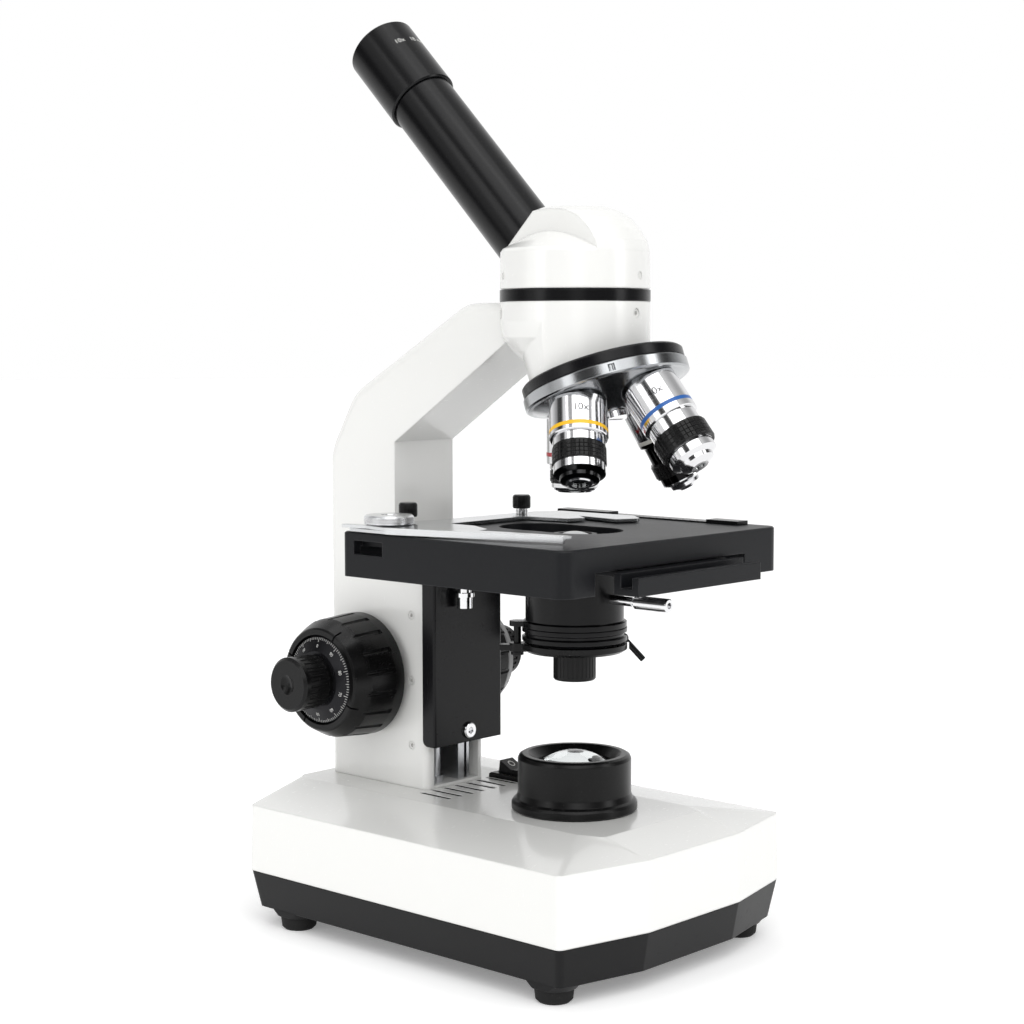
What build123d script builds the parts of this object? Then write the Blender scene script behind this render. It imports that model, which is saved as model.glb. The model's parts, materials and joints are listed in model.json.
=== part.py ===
from build123d import *
from math import cos, pi, radians, sin, tan
import os

# A student compound microscope: a base with a built-in lamp, a cast arm with coaxial focus knobs,
# a turret of four objectives, an inclined monocular tube, and a square stage with a slide holder.
# Every y below is measured from the optical axis, with the arm at +Y and the lamp side at -Y.
# save() moves the finished piece so that the origin is at the middle of the whole model, on the bench.

# ---- driving dimensions, in millimetres ----
AXIS_Y = -33.9           # where the optical axis stands in the finished model
GAP = 0.3                 # air between pieces that move past each other
SEAM = 0.05               # air between pieces that are fixed to each other

# base
BASE_HALF_W = 73.3
BASE_FRONT_CORNER_Y = -55.3
BASE_NOSE_Y = -65.4
BASE_NOSE_HALF_W = 30.3
BASE_REAR_CORNER_Y = 127.8
BASE_REAR_Y = 137.8
BASE_REAR_HALF_W = 40.0
PAN_BOTTOM_Z = 8.5
PAN_TOP_Z = 25.0
PAN_TAPER = 3.4           # how far the pan's lower edge stands inside its upper one
SIDE_TOP_Z = 54.3
DECK_Z = 60.2
DECK_HALF_W = 36.5
WALL = 3.0
FOOT_X = 61.4
FOOT_YS = (-42.4, 108.6)
VENT_XS = [-22.8 + 7.1 * index for index in range(7)]
VENT_Y = 60.8
VENT_LEN = 18.5
VENT_W = 2.6
SWITCH_X = 28.2
SWITCH_Y = 59.5
SWITCH_TILT = 8.0         # the rocker's tilt at rest, front end down
SOCKET_X = 26.0
SOCKET_Z = 38.0

# lamp
LAMP_R = 24.3
LAMP_FLANGE_R = 27.0
LAMP_TOP_Z = 84.3

# arm
ARM_HALF_W = 18.5
ARM_FRONT_Y = 70.4
COLUMN_FRONT_Y = 90.0
COLUMN_TOP_Z = 215.1      # where the column's front meets the neck's underside
NECK_SLOPE = 0.655
ARM_REAR_Y = 134.0
CHANNEL_HALF_W = 14.2
CHANNEL_DEPTH_Y = 117.0
CHANNEL_TOP_Z = 160.0
ARM_SCREW_Y = 80.2
ARM_SCREW_ZS = (79.5, 108.7, 138.1)
GUIDE_R = 4.6
GUIDE_X = -8.0
GUIDE_Y = 79.0

# focus drive
KNOB_Y = 108.0
KNOB_Z = 109.7
KNOB_INNER_X = (22.0, 27.5)   # inner face of the left and of the right coarse knob
COARSE_R = 27.8
COARSE_LEN = 27.0
COARSE_FLUTES = 18
FINE_R = 12.1
FINE_REACH = 45.6         # from the coarse knob's inner face to the fine knob's end
FINE_RIBS = 28
DIAL_START = COARSE_LEN - 4.0 + GAP
FINE_START = DIAL_START + 5.2 + SEAM
SPINDLE_R = 2.3
SHAFT_R = 3.9
GEAR_MODULE = 0.8
GEAR_TEETH = 12
GEAR_PITCH_R = GEAR_MODULE * GEAR_TEETH / 2
RACK_ROOT_Y = KNOB_Y - GEAR_PITCH_R - 1.2 * GEAR_MODULE
RACK_TIP_Y = KNOB_Y - GEAR_PITCH_R + GEAR_MODULE * 0.8
RACK_LOW = 90.0
RACK_HIGH = 138.0
RACK_TEETH = 18

# stage
STAGE_HALF_W = 70.6
STAGE_FRONT_Y = -55.7
STAGE_REAR_Y = 68.9
STAGE_TOP_Z = 180.2
STAGE_BOTTOM_Z = 161.3
STAGE_TOP_T = 6.0
STAGE_WALL = 4.0
BRACKET_FRONT_Y = 62.6
BRACKET_BACK_Y = 70.0
BRACKET_HALF_W = 21.7
BRACKET_BOTTOM_Z = 80.8
BOLT_Z = 86.0
STOP_SCREW_X = -7.5
STOP_SCREW_Y = 57.6
STOP_SCREW_Z = 142.4
RAIL_X = (-43.5, 37.0)
RAIL_Y = (-70.0, -57.5)
RAIL_Z = (161.3, 168.6)
TONGUE_Z = (167.4, 169.8)
FRAME_FRONT_Y = -41.0     # the cross slide's frame stays this far back, clear of the skirt
POST_X = -46.0
POST_Y = 40.0
HOLDER_Z = STAGE_TOP_Z + 0.5
HOLDER_T = 1.4
FINGER_T = 1.4
KNOB_LOW = HOLDER_Z + HOLDER_T + FINGER_T + 0.4
KNOB_POST = (-62.8, 48.2)
SCREW_SPOTS = ((-38.5, 61.5), (26.5, 54.5))
DRIVE_X = 49.0
DRIVE_Y = 44.0
DRIVE_SLEEVE_R = 4.4

# condenser
CONDENSER_R = 21.0
MOUNT_Z = (157.6, 163.8)
LOCK_Z = 152.0
LEVER_DIRECTION = (0.675, -0.738)
HINGE_TURN = 132.5
HINGE_RADIUS = 24.4
PIN_R = 1.6

# turret and objectives
TURRET_TILT = 20.0
TURRET_APEX_Z = 288.8     # where the turret's axis and all four objective axes meet
TURRET_R = 35.2
TURRET_SEAT_TOP = 43.0
SEAT_FROM_APEX = 61.6     # distance from the apex to each objective's shoulder
BARREL_R = 12.1
SLIM_BARREL_R = 10.4      # the oil objective's barrel
THREAD_R = 10.1
OBJECTIVE_TURNS = {"4x": 270, "10x": 180, "40x": 90, "100x": 0}
OBJECTIVES = {
    # name: (barrel end, band start, grip start, grip end, nose end, grip radius, nose radius, tip radius)
    "4x": (19.0, 14.0, 21.0, 27.0, 30.8, 10.6, 10.0, 7.6),
    "10x": (16.2, 12.6, 20.0, 28.2, 36.0, 11.1, 10.6, 5.4),
    "40x": (18.9, 14.2, 24.6, 33.4, 41.6, 12.0, 10.2, 4.4),
    "100x": (12.0, 14.6, 26.0, 33.0, 41.2, 10.2, 9.0, 3.6)}
LENS_R = {"4x": 5.4, "10x": 3.4, "40x": 2.4, "100x": 1.7}
BAND_W = 1.7
GRIP_DEPTH = 0.7
GRIP_RIBS = 36

# head, tube and eyepiece
BULB_R = 31.7
RING_BOTTOM_Z = 276.3
RING_TOP_Z = 281.3
DOVETAIL_R = 23.0
COLLAR_SCREW_Z = RING_BOTTOM_Z - 5.0
COLLAR_SCREW_TURNS = (-86, 34, 142)
HEAD_SCREW_Z = RING_TOP_Z + 5.6
HEAD_SCREW_TURNS = (-81, 149)
HEAD_WALL_TOP_Z = 298.0
HEAD_TOP_Z = 315.5
HEAD_WEDGE_HALF_W = 17.0
HEAD_SLANT = 322.5        # the tube's mounting face is the plane y + z = HEAD_SLANT
TUBE_Z0 = 276.5           # the inclined tube's axis is z = TUBE_Z0 + y
TUBE_R = 14.4
TUBE_BORE_R = 11.65
TUBE_END = 126.0
EYEPIECE_R = 15.8
EYEPIECE_END = 163.7
TUBE_DIRECTION = Vector(0, 1, 1).normalized()

UPWARD = (Align.CENTER, Align.CENTER, Align.MIN)


def save(name, shape):
    """Write one sub-part, moved into the model's own frame."""
    export_step(Pos(0, AXIS_Y, 0) * shape, f"parts/{name}.step")


def rod(radius, z_low, z_high, x=0.0, y=0.0):
    """A vertical cylinder."""
    return Pos(x, y, z_low) * Cylinder(radius, z_high - z_low, align=UPWARD)


def block(low, high):
    """A box between two corners."""
    size = [b - a for a, b in zip(low, high)]
    return Pos(*low) * Box(*size, align=(Align.MIN, Align.MIN, Align.MIN))


def turned(points):
    """A solid turned about Z from an (r, z) outline."""
    outline = Plane.XZ * make_face(Polyline(*points, close=True))
    return revolve(outline, Axis.Z)


def cross_rod(radius, x_low, x_high, y=KNOB_Y, z=KNOB_Z):
    """A cylinder along X."""
    return Pos(x_low, y, z) * Rot(0, 90, 0) * Cylinder(
        radius, x_high - x_low, align=UPWARD)


def domed_disc(radius, bottom, edge, top):
    """A round disc on the optical axis whose upper face rises from its edge as part of a ball."""
    rise = top - edge
    ball_radius = (radius ** 2 + rise ** 2) / (2 * rise)
    return rod(radius, bottom, top) & Pos(0, 0, top - ball_radius) * Sphere(ball_radius)


def radial_frame(turn, z):
    """A frame on the optical axis whose Z points outwards at an angle round it."""
    return Pos(0, 0, z) * Rot(0, 0, turn) * Rot(0, 90, 0)


def tube_frame(distance):
    """The inclined tube's frame, with Z along the tube, at a distance along its axis."""
    origin = Vector(0, 0, TUBE_Z0) + TUBE_DIRECTION * distance
    return Plane(origin=origin, x_dir=(1, 0, 0), z_dir=TUBE_DIRECTION).location


def turret_frame():
    """The turret's frame: origin at the apex, Z down along the turret's axis."""
    tilt = radians(TURRET_TILT)
    return Plane(origin=(0, 0, TURRET_APEX_Z), x_dir=(1, 0, 0), z_dir=(0, -sin(tilt), -cos(tilt))).location


def objective_frame(turn):
    """The frame of the objective at an angle round the turret: Z points out of its front lens."""
    return turret_frame() * Rot(0, 0, turn) * Rot(0, TURRET_TILT, 0)


# ---- base ----
def base_plan(inset):
    """The base's plan with its shallow pointed front, shrunk all round by an inset."""
    corners = [
        (-BASE_NOSE_HALF_W, BASE_NOSE_Y), (BASE_NOSE_HALF_W, BASE_NOSE_Y),
        (BASE_HALF_W, BASE_FRONT_CORNER_Y), (BASE_HALF_W, BASE_REAR_CORNER_Y),
        (BASE_REAR_HALF_W, BASE_REAR_Y), (-BASE_REAR_HALF_W, BASE_REAR_Y),
        (-BASE_HALF_W, BASE_REAR_CORNER_Y), (-BASE_HALF_W, BASE_FRONT_CORNER_Y)]
    face = make_face(Polyline(*corners, close=True))
    if inset:
        face = offset(face, -inset, kind=Kind.INTERSECTION)
    return fillet(face.vertices(), 3.0)


def deck_plan(inset):
    """The raised deck's outline, shrunk all round by an inset."""
    corners = [
        (-31.5, -43.0), (31.5, -43.0),
        (DECK_HALF_W - 1.0, -32.0), (DECK_HALF_W, BASE_REAR_Y - 4.0),
        (DECK_HALF_W - 4.0, BASE_REAR_Y - 0.6), (4.0 - DECK_HALF_W, BASE_REAR_Y - 0.6),
        (-DECK_HALF_W, BASE_REAR_Y - 4.0), (1.0 - DECK_HALF_W, -32.0)]
    face = make_face(Polyline(*corners, close=True))
    if inset:
        face = offset(face, -inset, kind=Kind.INTERSECTION)
    return fillet(face.vertices(), 3.0)


def base_block(inset, z_low, side_top, deck):
    """The base's outer or inner form: straight sides, sloping shoulders and a raised deck."""
    low = Pos(0, 0, z_low) * base_plan(inset)
    mid = Pos(0, 0, side_top) * base_plan(inset + 0.5)
    top = Pos(0, 0, deck) * deck_plan(inset)
    return loft([low, mid], ruled=True) + loft([mid, top], ruled=True)


def base_shell():
    """Cast cover: sides, shoulders and deck, open below."""
    shell = base_block(0, PAN_TOP_Z, SIDE_TOP_Z, DECK_Z)
    shell -= base_block(WALL, PAN_TOP_Z - 1, SIDE_TOP_Z - 2.2, DECK_Z - WALL)
    for corner in [(x, y) for x in (-FOOT_X, FOOT_X) for y in FOOT_YS]:
        shell += rod(4.5, PAN_TOP_Z, DECK_Z, *corner) & base_block(1, PAN_TOP_Z, SIDE_TOP_Z, DECK_Z)
        shell -= rod(1.6, PAN_TOP_Z - 1, 40, *corner)
    shell -= rod(15.0, DECK_Z - 8, DECK_Z + 8)
    for x in VENT_XS:
        slot = extrude(SlotOverall(VENT_LEN, VENT_W, rotation=90), 12)
        shell -= Pos(x, VENT_Y, DECK_Z - 8) * slot
    shell -= Pos(SWITCH_X, SWITCH_Y, DECK_Z) * Box(11.6, 18.6, 20)
    shell -= Pos(SOCKET_X, BASE_REAR_Y - 2, SOCKET_Z) * Rot(90, 0, 0) * Cylinder(5.6, 20)
    return shell


def base_pan():
    """Black lower pan with foot bosses, closing the base from below."""
    top = PAN_TOP_Z - 0.2
    outer = loft([Pos(0, 0, PAN_BOTTOM_Z) * base_plan(PAN_TAPER),
                  Pos(0, 0, top) * base_plan(0.3)], ruled=True)
    inner = loft([Pos(0, 0, PAN_BOTTOM_Z + WALL) * base_plan(PAN_TAPER + WALL),
                  Pos(0, 0, top + 1) * base_plan(0.3 + WALL)], ruled=True)
    pan = outer - inner
    for x in (-FOOT_X, FOOT_X):
        for y in FOOT_YS:
            foot_seat = Cone(9.4, 11.4, 2.7, align=UPWARD)
            pan += Pos(x, y, 6.0) * foot_seat & block((-70, -56, 0), (70, 130, 20))
            pan += rod(5.0, PAN_BOTTOM_Z, top, x, y)
            pan -= rod(1.9, 0, 30, x, y)
    for index in range(9):
        pan -= Pos((index - 4) * 6.0, 36.0, 0) * Box(2.4, 40.0, 30.0)
    return pan


def rubber_feet():
    """Four turned rubber feet."""
    foot = turned([(1.9, 2.65), (3.3, 2.65), (3.3, 0), (6.4, 0), (7.6, 1.2), (8.2, 5.95), (1.9, 5.95)])
    return Compound([Pos(x, y, 0) * foot for x in (-FOOT_X, FOOT_X) for y in FOOT_YS])


def base_screws():
    """Four screws up through the feet and the pan into the cover."""
    screw = rod(3.2, 1.0, 2.6) + rod(1.85, 2.6, 5.9) + rod(1.55, 5.9, 36.0) - rod(1.0, 0.5, 1.9)
    return Compound([Pos(x, y, 0) * screw for x in (-FOOT_X, FOOT_X) for y in FOOT_YS])


def control_board():
    """Lamp driver board on four spacers, with its parts."""
    board = block((-26, 76, 18.0), (26, 112, 19.6))
    for x in (-22, 22):
        for y in (80, 108):
            board += rod(2.5, PAN_BOTTOM_Z + WALL + SEAM, 18.0, x, y)
    board += block((-14, 82, 19.6), (6, 98, 32.0))
    board += rod(5.0, 19.6, 34.0, 16, 90)
    board += rod(3.2, 19.6, 28.0, 16, 102)
    board += block((-22, 101, 19.6), (-8, 108, 24.0))
    return board


def power_socket():
    """Round low-voltage socket in the rear wall."""
    def along_y(radius, y_low, y_high):
        return Pos(SOCKET_X, y_low, SOCKET_Z) * Rot(-90, 0, 0) * Cylinder(
            radius, y_high - y_low, align=UPWARD)
    outside = BASE_REAR_Y
    body = along_y(5.5, outside - 14, outside + SEAM)
    body += along_y(7.4, outside + SEAM, outside + 1.25)
    body -= along_y(2.9, outside - 9, outside + 3)
    body += along_y(1.0, outside - 9.5, outside + 1.2)
    return body


def switch_bezel():
    """Frame of the rocker switch, snapped into the deck."""
    body = block((-5.6, -9.1, -12.5), (5.6, 9.1, 0.0))
    flange = Pos(0, 0, SEAM) * block((-7.2, -10.4, 0.0), (7.2, 10.4, 2.2))
    flange = chamfer(flange.faces().sort_by(Axis.Z)[-1].edges(), 0.7)
    frame = body + block((-5.6, -9.1, -0.1), (5.6, 9.1, 0.3)) + flange
    frame -= block((-4.6, -7.9, -6.0), (4.6, 7.9, 4.0))
    for x in (-3.0, 3.0):
        frame += block((x - 0.4, -2.4, -17.0), (x + 0.4, 2.4, -12.5))
    return Pos(SWITCH_X, SWITCH_Y, DECK_Z) * frame


def switch_rocker():
    """Rocker cap that tilts about X between its two stops; at rest its front end is down."""
    half = [(-7.2, -0.6), (7.2, -0.6), (7.2, 6.4), (0, 3.8), (-7.2, 5.2)]
    cap = extrude(Plane.YZ * make_face(Polyline(*half, close=True)), 4.25, both=True)
    cap += Rot(0, 90, 0) * Cylinder(2.2, 8.5)
    cap = Rot(SWITCH_TILT, 0, 0) * cap
    return Pos(SWITCH_X, SWITCH_Y, DECK_Z + 0.6) * cap


# ---- lamp ----
def lamp_housing():
    """Black drum over the lamp, with a bevelled rim round the lens."""
    z = DECK_Z + SEAM
    drum = turned([
        (15.2, z), (LAMP_FLANGE_R - 0.8, z), (LAMP_FLANGE_R, z + 0.8), (LAMP_FLANGE_R, z + 3.2),
        (LAMP_FLANGE_R - 0.7, z + 4.3), (LAMP_FLANGE_R - 1.9, z + 5.1), (LAMP_R, z + 7.6),
        (LAMP_R, LAMP_TOP_Z - 2.0), (LAMP_R - 0.6, LAMP_TOP_Z - 0.7), (LAMP_R - 1.9, LAMP_TOP_Z),
        (20.2, LAMP_TOP_Z), (16.4, LAMP_TOP_Z - 3.6),
        (16.4, LAMP_TOP_Z - 8.2), (14.6, LAMP_TOP_Z - 8.2), (14.6, LAMP_TOP_Z - 10.2),
        (16.4, LAMP_TOP_Z - 10.2), (16.4, z + 4.0), (15.2, z + 4.0)])
    return drum


def collector_lens():
    """Domed glass lens seated inside the drum."""
    bottom_z = LAMP_TOP_Z - 8.15
    return domed_disc(16.3, bottom_z, bottom_z + 3.0, bottom_z + 9.3)


def led_module():
    """Lamp board and finned heat sink on a pillar from the pan."""
    module = rod(13.0, 44.0, 48.0) + rod(11.5, 48.0, 49.4) + rod(2.4, 49.4, 51.0)
    for index in range(5):
        module += Pos((index - 2) * 5.0, 0, 36.0) * Box(1.4, 17.0, 16.2)
    module += rod(4.0, PAN_BOTTOM_Z + WALL + SEAM, 44.0)
    return module


# ---- arm ----
def arm():
    """One casting: column, curved neck and the round socket that carries the head and the turret."""
    outline = make_face(Polyline(
        (ARM_FRONT_Y, DECK_Z + SEAM), (ARM_FRONT_Y, 150), (COLUMN_FRONT_Y, 164),
        (COLUMN_FRONT_Y, COLUMN_TOP_Z), (12, neck_line(12)), (0, 276.2), (48, 276.2), (118, 237),
        (ARM_REAR_Y, 210), (ARM_REAR_Y, DECK_Z + SEAM),
        close=True))
    upper = [v for v in outline.vertices() if v.X > 40 and v.Y > 205]
    outline = fillet([v for v in upper if v.X > 100], 24)
    outline = fillet([v for v in outline.vertices() if abs(v.X - 48) < 0.1], 20)
    body = extrude(Plane.YZ * outline, ARM_HALF_W, both=True)
    side_edges = body.faces().filter_by(Axis.X).edges()
    back = []
    for edge in side_edges:
        middle = edge.center()
        if middle.Y > 125 or (middle.Y > 48 and middle.Z > neck_line(middle.Y) + 8):
            back.append(edge)
    body = fillet(back, 5.0)
    front = [e for e in body.edges() if abs(e.center().Y - ARM_FRONT_Y) < 0.1
             and abs(abs(e.center().X) - ARM_HALF_W) < 0.1]
    body = fillet(front, 3.5)
    socket = turned([(0, 236), (11, 240.5), (26.5, 256.0), (30.6, 261.5), (BULB_R - 0.1, 268.0),
                     (BULB_R - 0.1, RING_BOTTOM_Z), (0, RING_BOTTOM_Z)])
    snout = turret_frame() * rod(30.5, 18.0, TURRET_SEAT_TOP - SEAM) & rod(BULB_R - 0.1, 225, RING_BOTTOM_Z)
    casting = body + socket + snout
    casting -= turret_frame() * rod(60, TURRET_SEAT_TOP - SEAM, 120) & rod(40, 200, 275)
    casting -= rod(9.0, 200, 290)
    casting -= turret_frame() * rod(3.95, 30, 60)
    for turn in COLLAR_SCREW_TURNS:
        casting -= radial_frame(turn, COLLAR_SCREW_Z) * rod(1.95, BULB_R - 3.0, BULB_R + 1)
    casting -= block((-CHANNEL_HALF_W, 60, DECK_Z + 1.5), (CHANNEL_HALF_W, CHANNEL_DEPTH_Y, CHANNEL_TOP_Z))
    casting -= cross_rod(7.05, -30, 30)
    for z in ARM_SCREW_ZS:
        casting -= cross_rod(1.75, -24, -16, ARM_SCREW_Y, z)
        casting -= cross_rod(1.75, 16, 24, ARM_SCREW_Y, z)
    return casting


def neck_line(y):
    """Height of the neck's underside at a distance behind the optical axis."""
    return COLUMN_TOP_Z + (COLUMN_FRONT_Y - y) * NECK_SLOPE


def arm_side_screws():
    """Small grub screws in the arm's two sides that set the guides."""
    screws = []
    for z in ARM_SCREW_ZS:
        for x in (-18.3, 16.1):
            screw = cross_rod(1.7, x, x + 2.2, ARM_SCREW_Y, z)
            outer = x if x < 0 else x + 1.4
            screw -= cross_rod(0.8, outer - 0.4, outer + 1.2, ARM_SCREW_Y, z)
            screws.append(screw)
    return Compound(screws)


def guide_rods():
    """Round guide shaft and two flat steel rails that stand in the arm's channel."""
    low = DECK_Z + 1.5 + SEAM
    high = CHANNEL_TOP_Z - SEAM
    shaft = rod(GUIDE_R, low + 3, high, GUIDE_X, GUIDE_Y)
    shaft += rod(GUIDE_R + 1.2, low, low + 3, GUIDE_X, GUIDE_Y)
    rails = block((3.4, 72.5, low), (7.2, 84.0, high)) + block((8.8, 72.5, low), (10.4, 84.0, high))
    rails += block((3.4, 84.0, low), (10.4, 86.0, high))
    return Compound([shaft, rails])


def shaft_bushes():
    """Flanged bearing bushes pressed into the arm's sides; the right one carries the tension collar."""
    bushes = []
    for side, flange_end, flange_r in ((-1, 21.6, 10.5), (1, 27.1, 17.0)):
        bush = cross_rod(7.0, CHANNEL_HALF_W, ARM_HALF_W + SEAM)
        bush += cross_rod(flange_r, ARM_HALF_W + SEAM, flange_end)
        bush -= cross_rod(SHAFT_R + 0.05, 0, 30)
        bushes.append(bush if side > 0 else mirror(bush, Plane.YZ))
    return Compound(bushes)


# ---- focus drive ----
def spur_gear(teeth, width):
    """A pinion along X with straight-flanked teeth, one tooth pointing at the rack."""
    root = GEAR_PITCH_R - 1.2 * GEAR_MODULE
    tip = GEAR_PITCH_R + GEAR_MODULE
    half_root = 0.21 * pi * GEAR_MODULE * 1.15
    half_tip = 0.09 * pi * GEAR_MODULE
    tooth = make_face(Polyline((half_root, root - 0.4), (half_tip, tip), (-half_tip, tip),
                               (-half_root, root - 0.4), close=True))
    profile = Circle(root)
    for index in range(teeth):
        profile += Rot(0, 0, index * 360 / teeth) * tooth
    return Pos(0, KNOB_Y, KNOB_Z) * Rot(0, 90, 0) * Rot(0, 0, 180) * extrude(profile, width / 2, both=True)


def pinion_shaft():
    """Hollow coarse shaft with the rack pinion in its middle."""
    shaft_end = COARSE_LEN - 4.0 - SEAM
    shaft = cross_rod(SHAFT_R, -KNOB_INNER_X[0] - shaft_end, KNOB_INNER_X[1] + shaft_end)
    shaft += spur_gear(GEAR_TEETH, 9.0)
    return shaft - cross_rod(SPINDLE_R + 0.05, -60, 60)


def coarse_knob():
    """Fluted black coarse knob along Z, with a recess for the fine dial and a notched outer rim."""
    recess = COARSE_LEN - 4.0
    knob = turned([
        (SHAFT_R + 0.03, 0), (COARSE_R - 0.8, 0), (COARSE_R, 0.8), (COARSE_R - 0.1, 6.0),
        (COARSE_R - 1.2, COARSE_LEN - 7.4), (COARSE_R - 2.0, COARSE_LEN - 5.6), (23.2, COARSE_LEN - 0.6),
        (22.4, COARSE_LEN), (20.2, COARSE_LEN), (20.2, recess), (SHAFT_R + 0.03, recess)])
    flute = Pos(COARSE_R + 0.35, 0, 12.6) * Cylinder(1.25, COARSE_LEN - 9.6)
    for index in range(COARSE_FLUTES):
        knob -= Rot(0, 0, index * 360 / COARSE_FLUTES) * Rot(0, -3, 0) * flute
    for index in range(4):
        knob -= Rot(0, 0, 27 + index * 90) * Pos(23.6, 0, COARSE_LEN) * Box(8.0, 0.9, 7.0)
    return knob


def fine_dial():
    """Graduated dial along Z, which turns with the fine knob inside the coarse knob's rim."""
    return turned([(SPINDLE_R + 0.02, 0), (19.8, 0), (19.8, 2.2), (19.2, 3.0), (13.0, 5.2),
                   (SPINDLE_R + 0.02, 5.2)])


def fine_knob():
    """Ribbed fine knob along Z, with a dimpled end."""
    length = FINE_REACH - FINE_START
    knob = turned([(0, 0), (FINE_R - 0.9, 0), (FINE_R - 0.3, 3.0), (FINE_R, length - 1.2),
                   (FINE_R - 1.2, length), (0, length)])
    knob -= rod(SPINDLE_R + 0.02, -1, length - 6)
    groove = Pos(FINE_R + 0.35, 0, length / 2 - 0.6) * Cylinder(0.9, length - 6.0)
    for index in range(FINE_RIBS):
        knob -= Rot(0, 0, index * 360 / FINE_RIBS) * groove
    knob -= Pos(0, 0, length + 6.0) * Sphere(7.4)
    return knob


def both_sides(piece, start):
    """The same turned piece on the left and on the right, each at a distance from its knob's inner face."""
    right = Pos(KNOB_INNER_X[1] + start, KNOB_Y, KNOB_Z) * Rot(0, 90, 0) * piece
    left = Pos(KNOB_INNER_X[0] + start, KNOB_Y, KNOB_Z) * Rot(0, 90, 0) * piece
    return Compound([right, mirror(left, Plane.YZ)])


def coarse_knobs():
    """The left and right coarse knobs."""
    return both_sides(coarse_knob(), 0)


def fine_dials():
    """The left and right graduated dials."""
    return both_sides(fine_dial(), DIAL_START)


def fine_knobs():
    """The left and right fine knobs."""
    return both_sides(fine_knob(), FINE_START)


def fine_spindle():
    """Steel spindle through the hollow shaft, joining the two fine knobs."""
    reach = FINE_REACH - 7.0
    return cross_rod(SPINDLE_R, -KNOB_INNER_X[0] - reach, KNOB_INNER_X[1] + reach)


def rack_slide():
    """Coarse slide block with its rack, which runs on the guides in the arm's channel."""
    block_low = 86.0
    block_high = 141.0
    slide = block((-13.6, 71.2, block_low), (13.6, 97.0, block_high))
    slide -= rod(GUIDE_R + 0.05, 60, 170, GUIDE_X, GUIDE_Y)
    slide -= block((3.0, 60, 60), (10.8, 86.4, 170))
    slide += block((-3.6, 97.0, RACK_LOW), (3.6, RACK_ROOT_Y, RACK_HIGH))
    pitch = pi * GEAR_MODULE
    tooth = extrude(Plane.YZ * make_face(Polyline(
        (RACK_ROOT_Y - 0.3, -0.62), (RACK_ROOT_Y - 0.3, 0.62), (RACK_TIP_Y, 0.2), (RACK_TIP_Y, -0.2),
        close=True)), 3.6, both=True)
    first = KNOB_Z + pitch / 2 - pitch * round((KNOB_Z - RACK_LOW) / pitch - 1)
    for index in range(RACK_TEETH):
        slide += Pos(0, 0, first + index * pitch) * tooth
    return slide


# ---- stage ----
def stage_bracket():
    """Black plate in front of the arm that carries the stage on the focus slide."""
    plate = block((-BRACKET_HALF_W, BRACKET_FRONT_Y, BRACKET_BOTTOM_Z),
                  (BRACKET_HALF_W, BRACKET_BACK_Y, STAGE_TOP_Z - STAGE_TOP_T - SEAM))
    lower = [e for e in plate.edges().filter_by(Axis.X) if e.center().Z < 90 and e.center().Y > 65]
    plate = fillet(lower, 3.0)
    front = [e for e in plate.edges().filter_by(Axis.Z) if e.center().Y < 65]
    plate = fillet(front, 1.0)
    pad = block((-12.0, BRACKET_BACK_Y, 92.0), (12.0, 70.9, 135.0))
    plate += pad
    return plate - Pos(0, BRACKET_FRONT_Y, BOLT_Z) * Rot(90, 0, 0) * Cylinder(3.75, 3.0)


def bracket_screw():
    """Chrome socket screw low on the bracket."""
    def along_y(radius, low, high):
        return Pos(0, low, BOLT_Z) * Rot(-90, 0, 0) * Cylinder(
            radius, high - low, align=UPWARD)
    screw = along_y(3.6, BRACKET_FRONT_Y - 1.4, BRACKET_FRONT_Y + 1.4)
    screw = fillet(screw.edges().group_by(Axis.Y)[0], 0.6)
    face = Plane((0, BRACKET_FRONT_Y - 2, BOLT_Z), z_dir=(0, 1, 0))
    hexagon = extrude(face * RegularPolygon(1.7, 6), 2.4)
    return screw - hexagon


def stage_stop_screw():
    """Chrome stop screw hanging from the stage, in front of the bracket."""
    z = STOP_SCREW_Z
    screw = rod(3.4, z, z + 5.0) + rod(4.3, z + 5.0, z + 6.8) + rod(3.0, z + 6.8, MOUNT_Z[1])
    screw -= Pos(0, 0, z - 0.1) * extrude(RegularPolygon(1.9, 6), 3.4)
    return Pos(STOP_SCREW_X, STOP_SCREW_Y, 0) * screw


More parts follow.
